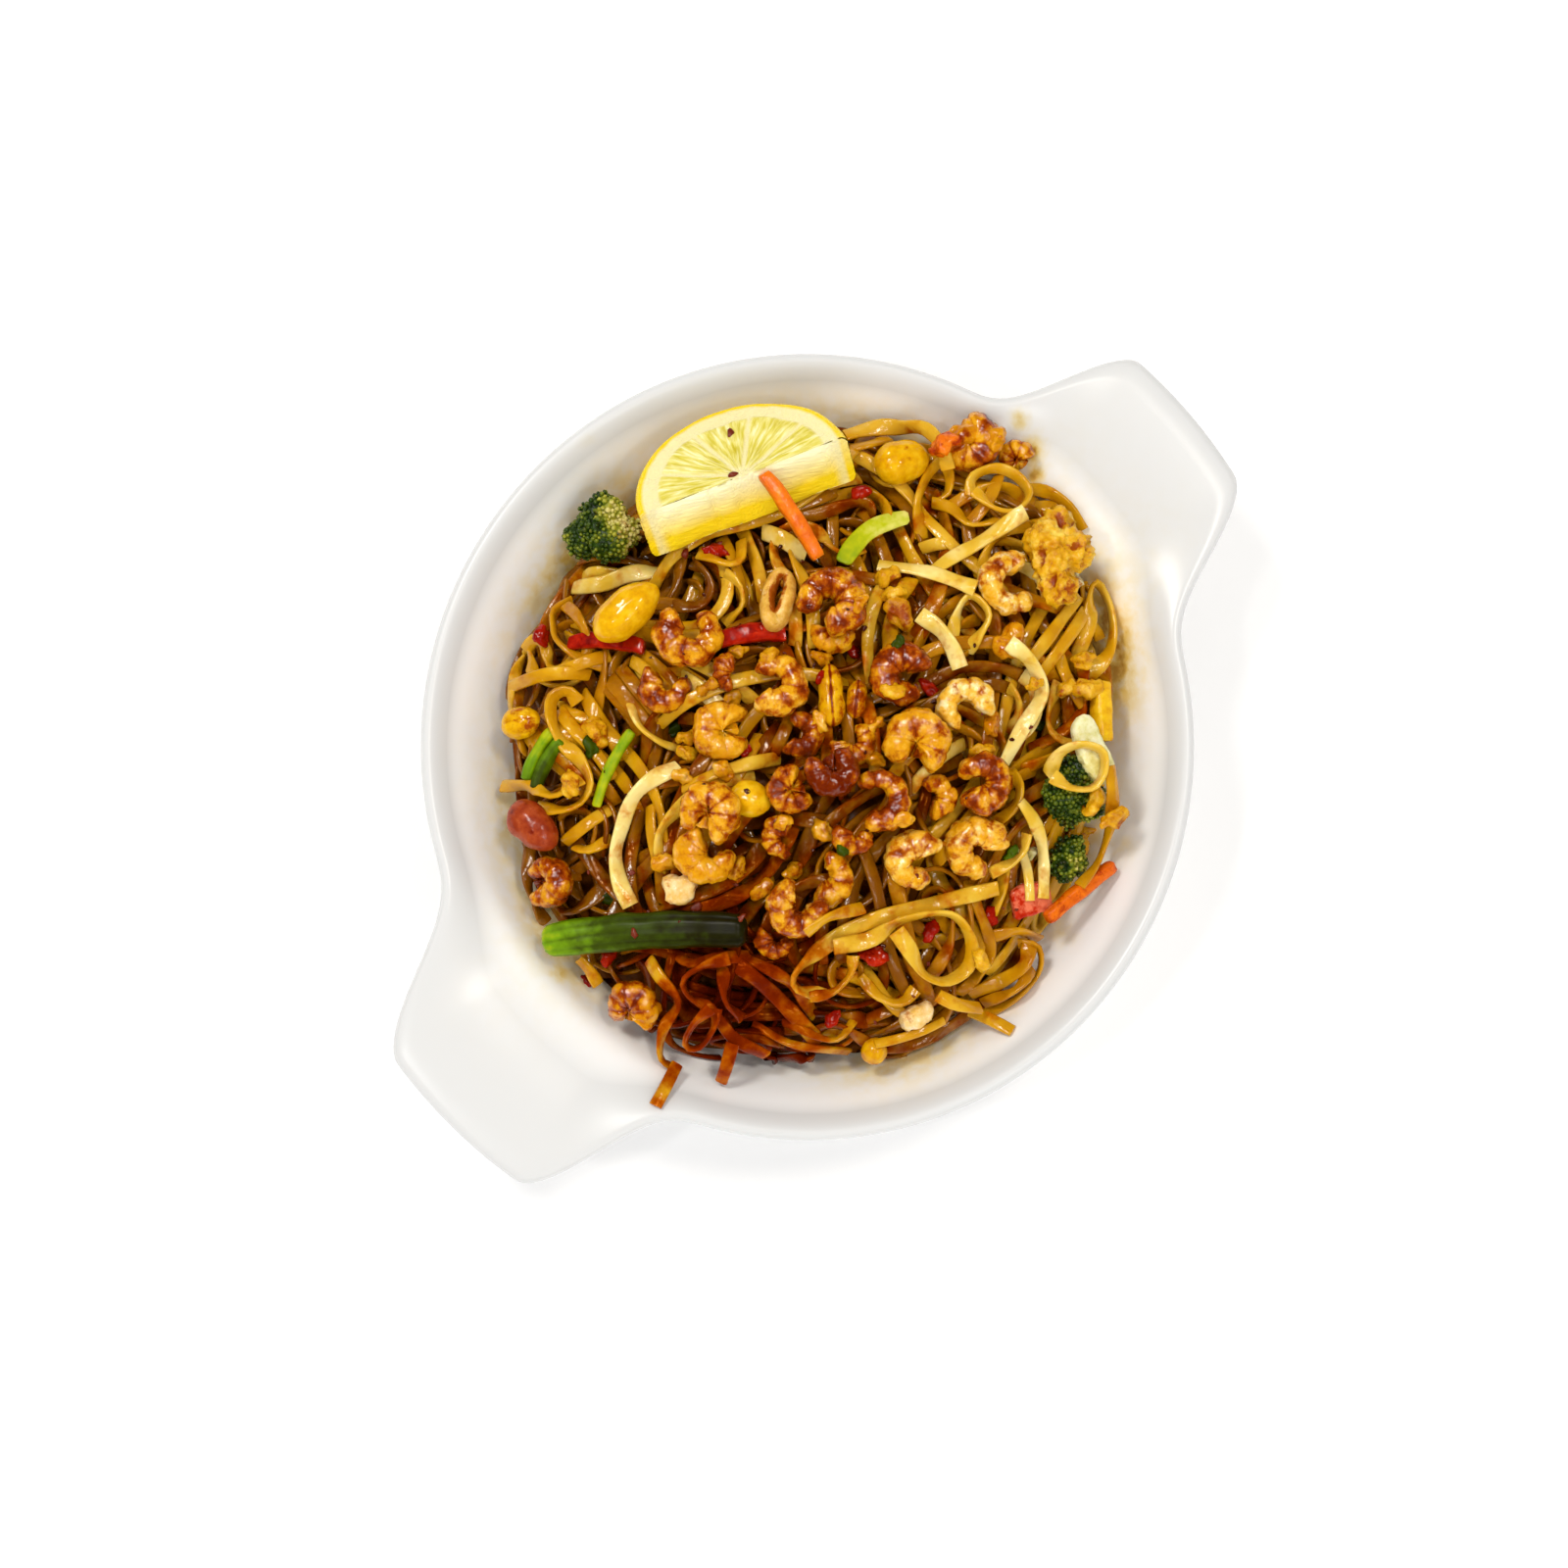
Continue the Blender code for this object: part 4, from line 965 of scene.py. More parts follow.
def makeSticks():
    for index, (node, spec) in enumerate(sticks.items()):
        finish, slot, heading, pitch, length, width, height, bow, tone, sauce, change = spec
        shares = np.linspace(-1, 1, 26)
        course = [(share * length / 2, 0, 0) for share in shares]
        ends = [max(0.72, 1 - 0.14 * abs(share) - 0.22 * max(0, abs(share) - 0.93) / 0.07) for share in shares]
        if finish == "cabbage":
            # torn, so thin and rounded towards both ends
            ends = [math.sqrt(1 - 0.92 * share ** 4) for share in shares]
        body = sweepBody(course, squareSection, ends)
        bmesh.ops.scale(body, vec=(1, width, height), verts=body.verts)
        layer = body.verts.layers.float.new("tone")
        for vert in body.verts:
            share = 2 * vert.co.x / length
            vert.co.y += bow * (1 - share * share)
            vert[layer] = tone + change * share
        body.verts.layers.float.new("groove")
        roughen(body, 0.35, 5.0, index * 2.1)
        roughen(body, 0.12, 1.2, index)
        setOver(body, node, heading, pitch=pitch)
        dressNode(node, body, finish, slot, sharp=60, sauce=sauce)


leaves = {
    # slot, heading, length, width, thickness, bow, ribs, tone at both ends, slices side by side
    "green_pod": ("scallion", 15, 15.5, 3.7, 5.0, 1.2, 3, 0.54, 0.76, 2),
    "scallion_leaf": ("scallion", -5, 21.0, 4.8, 1.6, 3.0, 3, 0.72, 0.90, 1),
    "spring_onion": ("scallion", -39, 56.0, 10.0, 7.4, 1.8, 9, 0.70, 0.12, 1),
    "olive_stalk": ("olive_veg", 20, 21.0, 2.8, 2.4, 1.0, 4, 0.78, 0.66, 1),
}


def makeLeaves():
    for index, (node, spec) in enumerate(leaves.items()):
        slot, heading, length, width, thickness, bow, ribs, first, last, slices = spec
        shares = np.linspace(-1, 1, 70)
        course = [(share * length / 2, bow * (1 - share * share), 0) for share in shares]
        ends = [width / 2 * (1 - 0.16 * share ** 6) * (1 - 0.3 * max(0, abs(share) - 0.96) / 0.04)
                for share in shares]
        body = sweepBody(course, ribSection, ends)
        bmesh.ops.scale(body, vec=(1, 1, thickness / width), verts=body.verts)
        tone, groove = (body.verts.layers.float.new(key) for key in ("tone", "groove"))
        for vert in body.verts:
            share = clamped(2 * vert.co.x / length, -1.0)
            across = vert.co.y - bow * (1 - share * share)
            around = math.atan2(vert.co.z * width / thickness, across)
            rib = abs(math.sin(around * ribs / 2 + 0.25 * share))
            cut = (1 - rib ** 0.45) * (1 if ribs > 4 else 0.6)
            middle = Vector((vert.co.x, bow * (1 - share * share), 0))
            vert.co = middle + (vert.co - middle) * (1 - 0.11 * cut)
            vert[groove] = cut * 0.6
            # the green deepens evenly, then turns nearly black over the last stretch
            vert[tone] = first + (last - first) * (0.5 + 0.5 * share) ** 0.75
        for side in range(1, slices):
            twin = bmesh.ops.duplicate(body, geom=body.faces[:])["geom"]
            corners = [part for part in twin if isinstance(part, bmesh.types.BMVert)]
            bmesh.ops.translate(body, vec=(-0.8, -width * 0.92 * side, -0.4), verts=corners)
            for vert in corners:
                vert[tone] -= 0.2
        roughen(body, 0.5, 7.0, index * 4.2)
        setOver(body, node, heading)
        dressNode(node, body, "stalk", slot, sharp=70)


squidRing = {"heading": 35, "long": 9.4, "short": 4.8, "tube": 2.05, "lean": 12, "deep": 1.7, "knots": 64}


def makeSquidRing():
    # a thin squid ring on edge, wider at one end
    tube = squidRing["tube"]
    long, short = squidRing["long"] - tube, squidRing["short"] - tube
    turns = np.linspace(0, math.tau, squidRing["knots"], endpoint=False)
    course = [(long * math.cos(t), short * math.sin(t) * (1 + 0.12 * math.cos(t)), 0.35 * math.sin(3 * t))
              for t in turns]
    body = sweepBody(course, ringSection, [tube * (1 - 0.22 * math.cos(t)) for t in turns], closed=True)
    bmesh.ops.scale(body, vec=(1, 1, squidRing["deep"]), verts=body.verts)
    # darker on the side of the hole: painted shade inside the ring
    setLayer(body, "groove", lambda v: smoothStep((1.0 - ((v.co.x / long) ** 2 + (v.co.y / short) ** 2)) / 0.5))
    roughen(body, 0.3, 2.2, 9)
    setOver(body, "squid_ring", squidRing["heading"], lean=squidRing["lean"])
    setLayer(body, "tone", 0.34)
    setLayer(body, "sauce", 0.10)
    finishPiece("squidRing_dressed", body, "paleFood", "pale_food", ["squid_ring"])


makeSticks()
makeLeaves()
makeSquidRing()
print("sticks, leaves and ring made:", len(sticks) + len(leaves) + 1)


# heights over the dish, one value for each square millimetre

mapHalf = 112
mapLine = np.arange(-mapHalf, mapHalf + 1)


def searchTree(names):
    # one search tree in millimetres from several objects
    places, faces = [], []
    for name in names:
        mesh = bpy.data.objects[name].data
        start = len(places)
        places += [v.co / metres for v in mesh.vertices]
        faces += [[start + i for i in face.vertices] for face in mesh.polygons]
    return BVHTree.FromPolygons(places, faces)


def heightMap(tree, downwards=True, missing=-50.0):
    # where straight rays from above, or from below, first meet the tree
    start, way = (200.0, Vector((0, 0, -1))) if downwards else (-20.0, Vector((0, 0, 1)))
    heights = np.full((len(mapLine), len(mapLine)), missing)
    for i, x in enumerate(mapLine):
        for j, y in enumerate(mapLine):
            hit = tree.ray_cast(Vector((float(x), float(y), start)), way)[0]
            if hit:
                heights[i, j] = hit.z
    return heights


def readMap(heights, x, y):
    # height at any place, evened out between the four nearest squares
    x, y = np.clip(x + mapHalf, 0, 2 * mapHalf - 1.001), np.clip(y + mapHalf, 0, 2 * mapHalf - 1.001)
    i, j = x.astype(int), y.astype(int)
    u, v = x - i, y - j
    return (heights[i, j] * (1 - u) * (1 - v) + heights[i + 1, j] * u * (1 - v)
            + heights[i, j + 1] * (1 - u) * v + heights[i + 1, j + 1] * u * v)


toppingNames = [o.name for o in bpy.data.objects if o.name.endswith("_dressed") or o.name == "lemonHalfSlice"]
wallMap = heightMap(searchTree(["dishGlazed"]))
heapMap = heightMap(searchTree(["noodle_heap"]))
toppingTree = searchTree(toppingNames)
topMap = heightMap(toppingTree)
underMap = heightMap(toppingTree, downwards=False, missing=200.0)
print("heights measured")


# the smaller core below the noodles

core = {"lower": 9.5, "narrow": 0.95, "skirt": 16.0, "knots": 2, "overWall": 0.8, "swell": 1.6, "swellSize": 4.0}


def makeCore():
    body = bmesh.new()
    body.from_mesh(bpy.data.objects["noodle_heap"].data)
    bmesh.ops.scale(body, vec=(1 / metres,) * 3, verts=body.verts)
    bmesh.ops.remove_doubles(body, verts=body.verts, dist=0.01)
    bmesh.ops.scale(body, vec=(core["narrow"], core["narrow"], 1), verts=body.verts)
    bmesh.ops.subdivide_edges(body, edges=body.edges, cuts=core["knots"], use_grid_fill=True)
    for vert in body.verts:
        floor = float(readMap(wallMap, np.array([vert.co.x]), np.array([vert.co.y]))[0])
        above = vert.co.z - floor
        vert.co.z = max(floor + core["overWall"], vert.co.z - core["lower"] * smoothStep(above / core["skirt"]))
    roughen(body, core["swell"], core["swellSize"], 3)
    # its dark colour is painted shade for the depths below the strands, and soaked sauce
    finishPiece("noodleCore", body, "depths", "noodles", ["noodle_heap"])


makeCore()
ground = np.maximum(wallMap, heightMap(searchTree(["noodleCore"])))
print("core made")


# the noodles

noodles = {
    "spacing": 1.7, "strands": 560, "tries": 8, "overflow": 3.0, "spill": 0.36,
    # each cut: width and thickness
    "cuts": {"wide": (4.3, 1.35), "plain": (3.5, 1.3), "narrow": (2.4, 1.25)},
    "loopShare": 0.44, "loopRadius": (5.0, 12.0), "loopTurn": (100, 400),
    "runRadius": (17, 70), "runLength": (12, 45), "long": (45, 140), "short": (22, 70), "lowShare": 0.9,
    "bundleShare": 0.42, "bundleStep": (3.2, 6.5),
    "edgeRoll": 68.0, "flatBend": 1 / 70, "edgeBend": 1 / 17, "drape": 8.0, "sink": 0.5,
    # the ribbons twist to and fro by this many degrees, over this many millimetres
    "twist": (6, 42), "twistLength": (7, 15),
    # how deep the cut ends dive between their neighbours, and over what length; how much the lower strands are
    # darkened, by more sauce and by painted shade for their depth
    "dive": 3.2, "diveLength": 8.0, "soakAndShade": 0.12,
    # how far strands are pressed in from the edge, what they may rise above the heap, and the fewest knots of one
    "pressedIn": (-10.0, -0.2), "rise": 1.2, "fewest": 12,
    # above this sauce the heap is dark; how often a strand is narrow there, or wide anywhere
    "darkSauce": 0.35, "narrowShare": 0.8, "wideShare": 0.3, "toneSpread": 0.19, "sauceSpread": 0.10,
    # how far a strand's ground reaches past it, and how far the next ones sink into it
    "margin": 0.25,
    # share of the edge's radius where the pressing in starts, and how far the listed ones may rise into toppings
    "edgeStart": 0.86, "lid": 1.5,
    # sauce everywhere, place, width and strength of each pool of it, and the usual tone with its slope sideways
    "sauce": 0.03, "pools": ((-62, -36, 19, 0.47), (-2, -8, 26, 0.12)), "tone": 0.45, "toneSlope": 0.0024,
}


def softEdge(x, y, reach):
    # courses that would leave the heap are pressed in along its edge
    turn, radius = np.arctan2(y, x), np.hypot(x, y)
    edge = np.array([heapEdge(t) for t in turn]) + reach
    start = edge * noodles["edgeStart"]
    over = np.maximum(radius - start, 0) / (edge - start)
    radius = np.where(radius > start, start + (edge - start) * np.tanh(over), radius)
    return radius * np.cos(turn), radius * np.sin(turn)


def evened(values, times):
    # rounds off a row of numbers, its ends held
    values = np.array(values, float)
    for _ in range(times):
        inner = (values[:-2] + 2 * values[1:-1] + values[2:]) / 4
        values = np.concatenate([values[:1], inner, values[-1:]])
    return values


def wanderingCourse(rand, centre, lengths):
    # loops and long bends in turn, in plan, with the middle over the given place
    step = noodles["spacing"]
    count = int(rand.uniform(*lengths) / step)
    bends = []
    while len(bends) < count:
        side = rand.choice((-1, 1))
        if rand.random() < noodles["loopShare"]:
            radius = rand.uniform(*noodles["loopRadius"])
            length = math.radians(rand.uniform(*noodles["loopTurn"])) * radius
        else:
            radius, length = rand.uniform(*noodles["runRadius"]), rand.uniform(*noodles["runLength"])
        bends += [side / radius] * int(length / step)
    bends = evened(bends[:count], 6)
    headings = rand.uniform(0, math.tau) + np.cumsum(bends) * step
    x, y = np.cumsum(np.cos(headings)) * step, np.cumsum(np.sin(headings)) * step
    return x - x[count // 2] + centre[0], y - y[count // 2] + centre[1]


def besideCourse(x, y, rand):
    # a companion strand next to an earlier one
    away = rand.choice((-1, 1)) * rand.uniform(*noodles["bundleStep"])
    along = np.arctan2(np.gradient(y), np.gradient(x))
    drift = np.linspace(rand.uniform(-3, 3), rand.uniform(-3, 3), len(x))
    x, y = x - np.sin(along) * (away + drift), y + np.cos(along) * (away + drift)
    first = rand.randrange(max(1, len(x) // 3))
    return evened(x[first:], 4), evened(y[first:], 4)


def layStrand(x, y, width, thickness, rand, lid=None, dive=True):
    # height and roll along a course that lies on what is already there, under the lid if there is one
    step = noodles["spacing"]
    along = np.unwrap(np.arctan2(np.gradient(y), np.gradient(x)))
    bend = evened(np.gradient(along) / np.maximum(np.hypot(np.gradient(x), np.gradient(y)), 0.3), 5)
    share = np.clip((np.abs(bend) - noodles["flatBend"]) / (noodles["edgeBend"] - noodles["flatBend"]), 0, 1)
    roll = -np.sign(bend) * np.radians(noodles["edgeRoll"]) * share * share * (3 - 2 * share)
    twist = math.radians(rand.uniform(*noodles["twist"])) * (0.4 if lid is not None or not dive else 1)
    roll = evened(roll, 4) + twist * np.sin(
        np.arange(len(x)) * step / rand.uniform(*noodles["twistLength"]) + rand.uniform(0, math.tau))
    halfWide = width / 2 * np.abs(np.cos(roll)) + thickness / 2 * np.abs(np.sin(roll))
    halfHigh = width / 2 * np.abs(np.sin(roll)) + thickness / 2 * np.abs(np.cos(roll))
    left = np.stack([-np.sin(along), np.cos(along)])
    offsets = np.linspace(-1, 1, 5)
    rests = np.stack([readMap(ground, x + left[0] * halfWide * o, y + left[1] * halfWide * o) for o in offsets])
    slope = evened(np.clip((rests[4] - rests[0]) / (2 * halfWide), -0.8, 0.8), 5)
    rests = np.array([rests[i] - slope * halfWide * o for i, o in enumerate(offsets)])
    support = rests.max(axis=0) * (1 - noodles["sink"]) + rests.mean(axis=0) * noodles["sink"]
    height = support + halfHigh
    # a course that crosses itself climbs over its own earlier part
    gaps = np.hypot(x[:, None] - x[None, :], y[:, None] - y[None, :])
    run = np.arange(len(x)) * step
    for i in range(len(x)):
        near = (gaps[i, :i] < (halfWide[i] + halfWide[:i]) * 0.9) & (run[i] - run[:i] > 9)
        if near.any():
            height[i] = max(height[i], np.max((height[:i] + halfHigh[:i])[near]) + halfHigh[i])
    # stiffness: no tighter sag than this radius
    sag = height[None, :] - (run[:, None] - run[None, :]) ** 2 / (2 * noodles["drape"])
    height = evened(np.max(sag, axis=1), 2)
    if dive:
        toEnd = np.minimum(run, run[-1] - run) / noodles["diveLength"]
        height = height - noodles["dive"] * np.clip(1 - toEnd, 0, 1) ** 2
        height = np.maximum(height, readMap(wallMap, x, y) + halfHigh)
    if lid is not None:
        height = evened(np.minimum(height, readMap(lid, x, y) - halfHigh), 2)
    return height, roll + np.arctan(slope) * np.cos(roll), halfWide, halfHigh


def coverGround(x, y, height, halfWide, halfHigh):
    # the strand becomes ground for the next ones
    for i in range(len(x)):
        reach = halfWide[i] + noodles["margin"]
        i0, i1 = int(math.ceil(x[i] - reach)), int(math.floor(x[i] + reach))
        j0, j1 = int(math.ceil(y[i] - reach)), int(math.floor(y[i] + reach))
        if i1 < i0 or j1 < j0:
            i0 = i1 = int(round(x[i]))
            j0 = j1 = int(round(y[i]))
        part = (slice(i0 + mapHalf, i1 + mapHalf + 1), slice(j0 + mapHalf, j1 + mapHalf + 1))
        ground[part] = np.maximum(ground[part], height[i] + halfHigh[i] - noodles["margin"])


def ribbonSection(width, thickness):
    # flat with well rounded edges
    corners = []
    for turn in np.linspace(0, math.tau, 10, endpoint=False) + math.tau / 20:
        across, up = math.cos(turn), math.sin(turn)
        corners.append((math.copysign(abs(across) ** 0.6, across) * width / 2,
                        math.copysign(abs(up) ** 0.8, up) * thickness / 2))
    return outline(corners)


sections = {cut: ribbonSection(*sizes) for cut, sizes in noodles["cuts"].items()}


def sauceAt(x, y):
    sauce = noodles["sauce"]
    for px, py, width, strength in noodles["pools"]:
        sauce += strength * math.exp(-((x - px) ** 2 + (y - py) ** 2) / 2 / width ** 2)
    return sauce


def toneAt(x, y):
    # paler towards the drier right-hand side, darker on the left
    return noodles["tone"] + noodles["toneSlope"] * (x - 0.2 * y)


def addStrand(body, x, y, height, roll, cut, tone, rand, extraSauce=0.0):
    # one ribbon swept along its course, with its colour numbers
    swell = 1 + 0.07 * np.sin(np.arange(len(x)) * rand.uniform(0.15, 0.4) + rand.uniform(0, 6))
    mesh = sweepMesh(np.stack([x, y, height], axis=1), sections[cut], swell, roll)
    soaked = [sauceAt(v.co.x, v.co.y) + extraSauce for v in mesh.vertices]
    for name, values in (("tone", np.full(len(soaked), tone)), ("sauce", soaked)):
        mesh.attributes.new(name, "FLOAT", "POINT").data.foreach_set("value", values)
    body.from_mesh(mesh)
    bpy.data.meshes.remove(mesh)


strands = {
    # listed one by one: cut, tone, then the course from end to end
    # lying in the heap, below the toppings
    "under": (
        ("plain", 0.55, ((23, 49), (19, 45), (16, 46), (14, 50), (13, 54))),
        ("plain", 0.50, ((-19, 69), (-24, 70), (-27, 67), (-29, 63), (-28, 56), (-25, 50))),
        ("plain", 0.45, ((-21, 69), (-21, 64), (-23, 58), (-26, 55))),
        ("wide", 0.85, ((-16, 72), (-10, 67), (-3, 64), (3, 59))),
        ("plain", 0.60, ((-1, 57), (8, 58), (18, 56), (28, 51), (37, 47), (49, 45), (62, 47))),
        ("wide", 0.88, ((29, 47), (31, 41), (32, 35))),
        ("plain", 0.62, ((14, 45), (14, 40), (11, 36), (5, 36))),
        ("plain", 0.50, ((61, 48), (66, 45), (71, 44))),
        ("plain", 0.52, ((58, 18), (63, 25), (71, 29), (76, 29), (75, 25), (71, 22), (68, 23))),
        ("plain", 0.55, ((67, 23), (69, 18), (69, 12), (74, 8), (79, 6))),
        ("plain", 0.50, ((85, 5), (88, 2), (92, -2))),
        ("plain", 0.50, ((88, 10), (91, 4), (92, -2), (91, -9))),
        ("plain", 0.55, ((61, 0), (69, 4), (76, 3), (83, -1))),
        ("plain", 0.66, ((56, 16), (63, 11))),
        ("plain", 0.75, ((44, -7), (50, -3), (55, -2), (56, -6), (54, -10), (45, -12))),
        ("wide", 0.60, ((66, -32), (74, -28), (81, -22), (84, -22), (82, -29), (75, -36), (65, -38))),
        ("plain", 0.62, ((54, -25), (66, -23), (77, -21))),
        ("plain", 0.58, ((55, -29), (67, -27), (76, -25))),
        ("wide", 0.50, ((-36, 48), (-36, 52), (-40, 53), (-44, 49), (-46, 43), (-46, 36), (-48, 30), (-53, 28),
                        (-58, 30), (-62, 35))),
        ("plain", 0.50, ((-65, 47), (-60, 41), (-57, 34), (-49, 32))),
        ("plain", 0.55, ((-41, 15), (-46, 9), (-51, 0))),
        ("plain", 0.50, ((-63, 24), (-57, 23), (-49, 22))),
        ("plain", 0.52, ((-62, 21), (-60, 18), (-54, 16))),
        ("narrow", 0.78, ((-26, 39), (-29, 32), (-28, 25), (-25, 20))),
        ("plain", 0.72, ((-17, 2), (-27, 8), (-36, 9), (-44, 8), (-49, 3))),
        ("plain", 0.66, ((-32, 12), (-20, 7), (-9, 1))),
        ("plain", 0.60, ((32, -41), (31, -46), (26, -49), (18, -48))),
        ("plain", 0.50, ((-55, -27), (-61, -34), (-61, -40))),
        ("wide", 0.40, ((-53, -27), (-51, -41), (-51, -58))),
        ("plain", 0.42, ((-50, -29), (-46, -42), (-47, -52))),
        ("plain", 0.45, ((-62, -16), (-61, -21), (-55, -25), (-49, -30))),
        ("narrow", 0.40, ((-60, -43), (-56, -54), (-47, -65))),
        ("narrow", 0.40, ((-54, -48), (-48, -60), (-40, -60))),
        ("plain", 0.50, ((-40, 61), (-33, 56), (-22, 51))),
        ("plain", 0.50, ((-46, 64), (-37, 58), (-29, 51))),
        ("plain", 0.45, ((0, -69), (6, -73), (9, -78))),
        ("plain", 0.48, ((4, -75), (7, -79), (3, -84), (-6, -85), (-15, -82))),
        ("wide", 0.42, ((-14, -76), (-6, -79), (1, -80), (6, -77))),
        ("plain", 0.36, ((-13, -80), (-5, -83), (2, -82))),
        ("plain", 0.40, ((69, 19), (76, 17), (83, 13), (86, 6))),
        ("plain", 0.34, ((70, 12), (77, 13), (84, 16))),
        ("plain", 0.36, ((68, 40), (75, 36), (82, 29), (86, 22))),
        ("plain", 0.44, ((72, 34), (78, 28), (80, 21))),
    ),
    # lying over their neighbours
    "over": (
        ("wide", 0.62, ((63, 52), (69, 49), (74, 45), (78, 39), (78, 33), (75, 26))),
        ("plain", 0.60, ((74, 17), (78, 20), (84, 18), (87, 12), (86, 7), (80, 6), (76, 10), (75, 17))),
        ("wide", 0.85, ((53, 9), (60, 8), (69, 6), (81, 4))),
        ("wide", 0.88, ((44, 20), (50, 12), (54, 5), (57, -2))),
        ("wide", 0.96, ((42, 3), (43, -3), (42, -9), (40, -14))),
        ("wide", 0.95, ((53, -18), (54, -26), (51, -33), (41, -36), (32, -39))),
        ("wide", 0.97, ((-29, 17), (-36, 19), (-43, 19), (-50, 16), (-56, 12), (-60, 6), (-62, 0))),
        ("wide", 0.80, ((38, -49), (43, -47), (48, -49), (51, -54), (48, -58), (43, -59), (39, -55), (38, -50))),
        ("plain", 0.88, ((28, -49), (27, -56), (24, -63), (16, -71))),
        ("narrow", 0.85, ((21, -58), (18, -63), (13, -69))),
        ("plain", 0.70, ((24, -56), (19, -59), (10, -57))),
        ("wide", 0.68, ((-42, -50), (-46, -44), (-42, -41), (-29, -42), (-18, -46), (-7, -52), (2, -57), (9, -61))),
        ("wide", 0.66, ((-32, -43), (-24, -48), (-15, -50), (-5, -57), (-5, -65), (-10, -70), (-17, -69), (-20, -64),
                        (-19, -58), (-18, -51))),
        ("plain", 0.52, ((-30, -48), (-34, -51), (-40, -51), (-45, -48))),
        ("plain", 0.55, ((-32, -53), (-32, -60), (-29, -65), (-24, -65))),
        ("plain", 0.40, ((50, -58), (45, -65), (39, -71), (33, -74), (25, -75))),
        ("plain", 0.60, ((-17, -79), (-15, -84), (-13, -90))),
        ("plain", 0.55, ((-21, -70), (-19, -75), (-15, -80))),
        ("narrow", 0.55, ((-41, -68), (-36, -71), (-30, -74), (-24, -76))),
        ("plain", 0.55, ((-68, -13), (-69, -18), (-70, -26), (-77, -28), (-83, -33), (-82, -38))),
        ("plain", 0.55, ((-81, -37), (-86, -39), (-92, -41))),
        ("plain", 0.48, ((-53, -27), (-59, -24), (-65, -23), (-67, -27), (-65, -33), (-66, -42), (-63, -51))),
        ("plain", 0.45, ((-64, -34), (-68, -37), (-74, -38), (-76, -35), (-71, -33), (-65, -33))),
        ("plain", 0.50, ((-81, 0), (-81, -4), (-82, -8))),
        ("plain", 0.55, ((-67, -43), (-72, -46), (-76, -48))),
        ("plain", 0.55, ((-35, -36), (-28, -37), (-20, -41))),
    ),
}


def layByHand(body, layer, seed, lid=None, dive=True):
    rand = random.Random(seed)
    for cut, tone, corners in strands[layer]:
        x, y = smoothCourse([np.array(c, float) for c in corners], noodles["spacing"]).T
        height, roll, halfWide, halfHigh = layStrand(x, y, *noodles["cuts"][cut], rand, lid, dive)
        coverGround(x, y, height, halfWide, halfHigh)
        addStrand(body, x, y, height, roll, cut, tone, rand)
    return len(strands[layer])


def fillHeap(body, count, seed, lengths, soakAndShade=0.0):
    # of a few random courses the one that fills the lowest ground is laid each time; the lower ones are darkened with
    # more sauce and with painted shade for their depth
    rand = random.Random(seed)
    ceiling = np.minimum(heapMap + noodles["rise"], underMap + noodles["rise"])
    last, laid = None, 0
    for _ in range(count):
        best = None
        depth = np.where(heapMap > 0, ceiling - ground, -99.0)
        low = np.argwhere(depth > np.quantile(depth[heapMap > 0], noodles["lowShare"])) - mapHalf
        for _ in range(noodles["tries"]):
            if last is not None and rand.random() < noodles["bundleShare"]:
                x, y = besideCourse(*last, rand)
            else:
                x, y = wanderingCourse(rand, low[rand.randrange(len(low))], lengths)
            x, y = softEdge(x, y, rand.uniform(*noodles["pressedIn"]))
            if len(x) < noodles["fewest"]:
                continue
            chance = rand.random()
            dark = sauceAt(float(np.mean(x)), float(np.mean(y))) > noodles["darkSauce"]
            cut = "wide" if chance < noodles["wideShare"] else "plain"
            if dark and chance < noodles["narrowShare"]:
                cut = "narrow"
            height, roll, halfWide, halfHigh = layStrand(x, y, *noodles["cuts"][cut], rand)
            room = readMap(ceiling, x, y) - (height + halfHigh)
            over = np.maximum(-room, 0)
            if np.max(over) > noodles["overflow"] + 2 or np.mean(over > 0.8) > noodles["spill"]:
                continue
            need = float(np.mean(np.clip(room, -3, 12))) - 0.6 * float(np.mean(over))
            if best is None or need > best[0]:
                best = (need, x, y, height, roll, halfWide, halfHigh, cut)
        if best is None:
            continue
        need, x, y, height, roll, halfWide, halfHigh, cut = best
        # painted shade: lower strands are laid darker for their depth
        tone = toneAt(float(np.mean(x)), float(np.mean(y))) + rand.gauss(0, noodles["toneSpread"]) - 2 * soakAndShade
        coverGround(x, y, height, halfWide, halfHigh)
        addStrand(body, x, y, height, roll, cut, clamped(tone, 0.05, 0.95), rand,
                  0.3 * soakAndShade + rand.gauss(0, noodles["sauceSpread"]))
        last, laid = (x, y), laid + 1
    return laid


def roomLeft():
    # millimetres between the strands so far and the top of the heap, on average
    return round(float(np.mean((heapMap - ground)[heapMap > 0])), 2)


def makeNoodles():
    global ground
    lower, upper = newBody("tone", "sauce"), newBody("tone", "sauce")
    half = noodles["strands"] // 2
    laid = fillHeap(lower, half, 11, noodles["long"], noodles["soakAndShade"])
    print("noodles below:", laid, "room left", roomLeft())
    laid += fillHeap(upper, half, 12, noodles["long"]) + fillHeap(upper, half, 13, noodles["short"])
    print("noodles below and above:", laid, "room left", roomLeft())
    laid += layByHand(upper, "under", 5, underMap + noodles["lid"])
    ground = np.maximum(ground, topMap)
    laid += layByHand(upper, "over", 6, dive=False)
    for name, body in (("noodlesBelow", lower), ("noodlesAbove", upper)):
        finishPiece(name, body, "noodles", "noodles", ["noodle_heap"], sharp=62, recalc=False)
    return laid


print("noodles laid:", makeNoodles())


# loose bits, each kind one piece

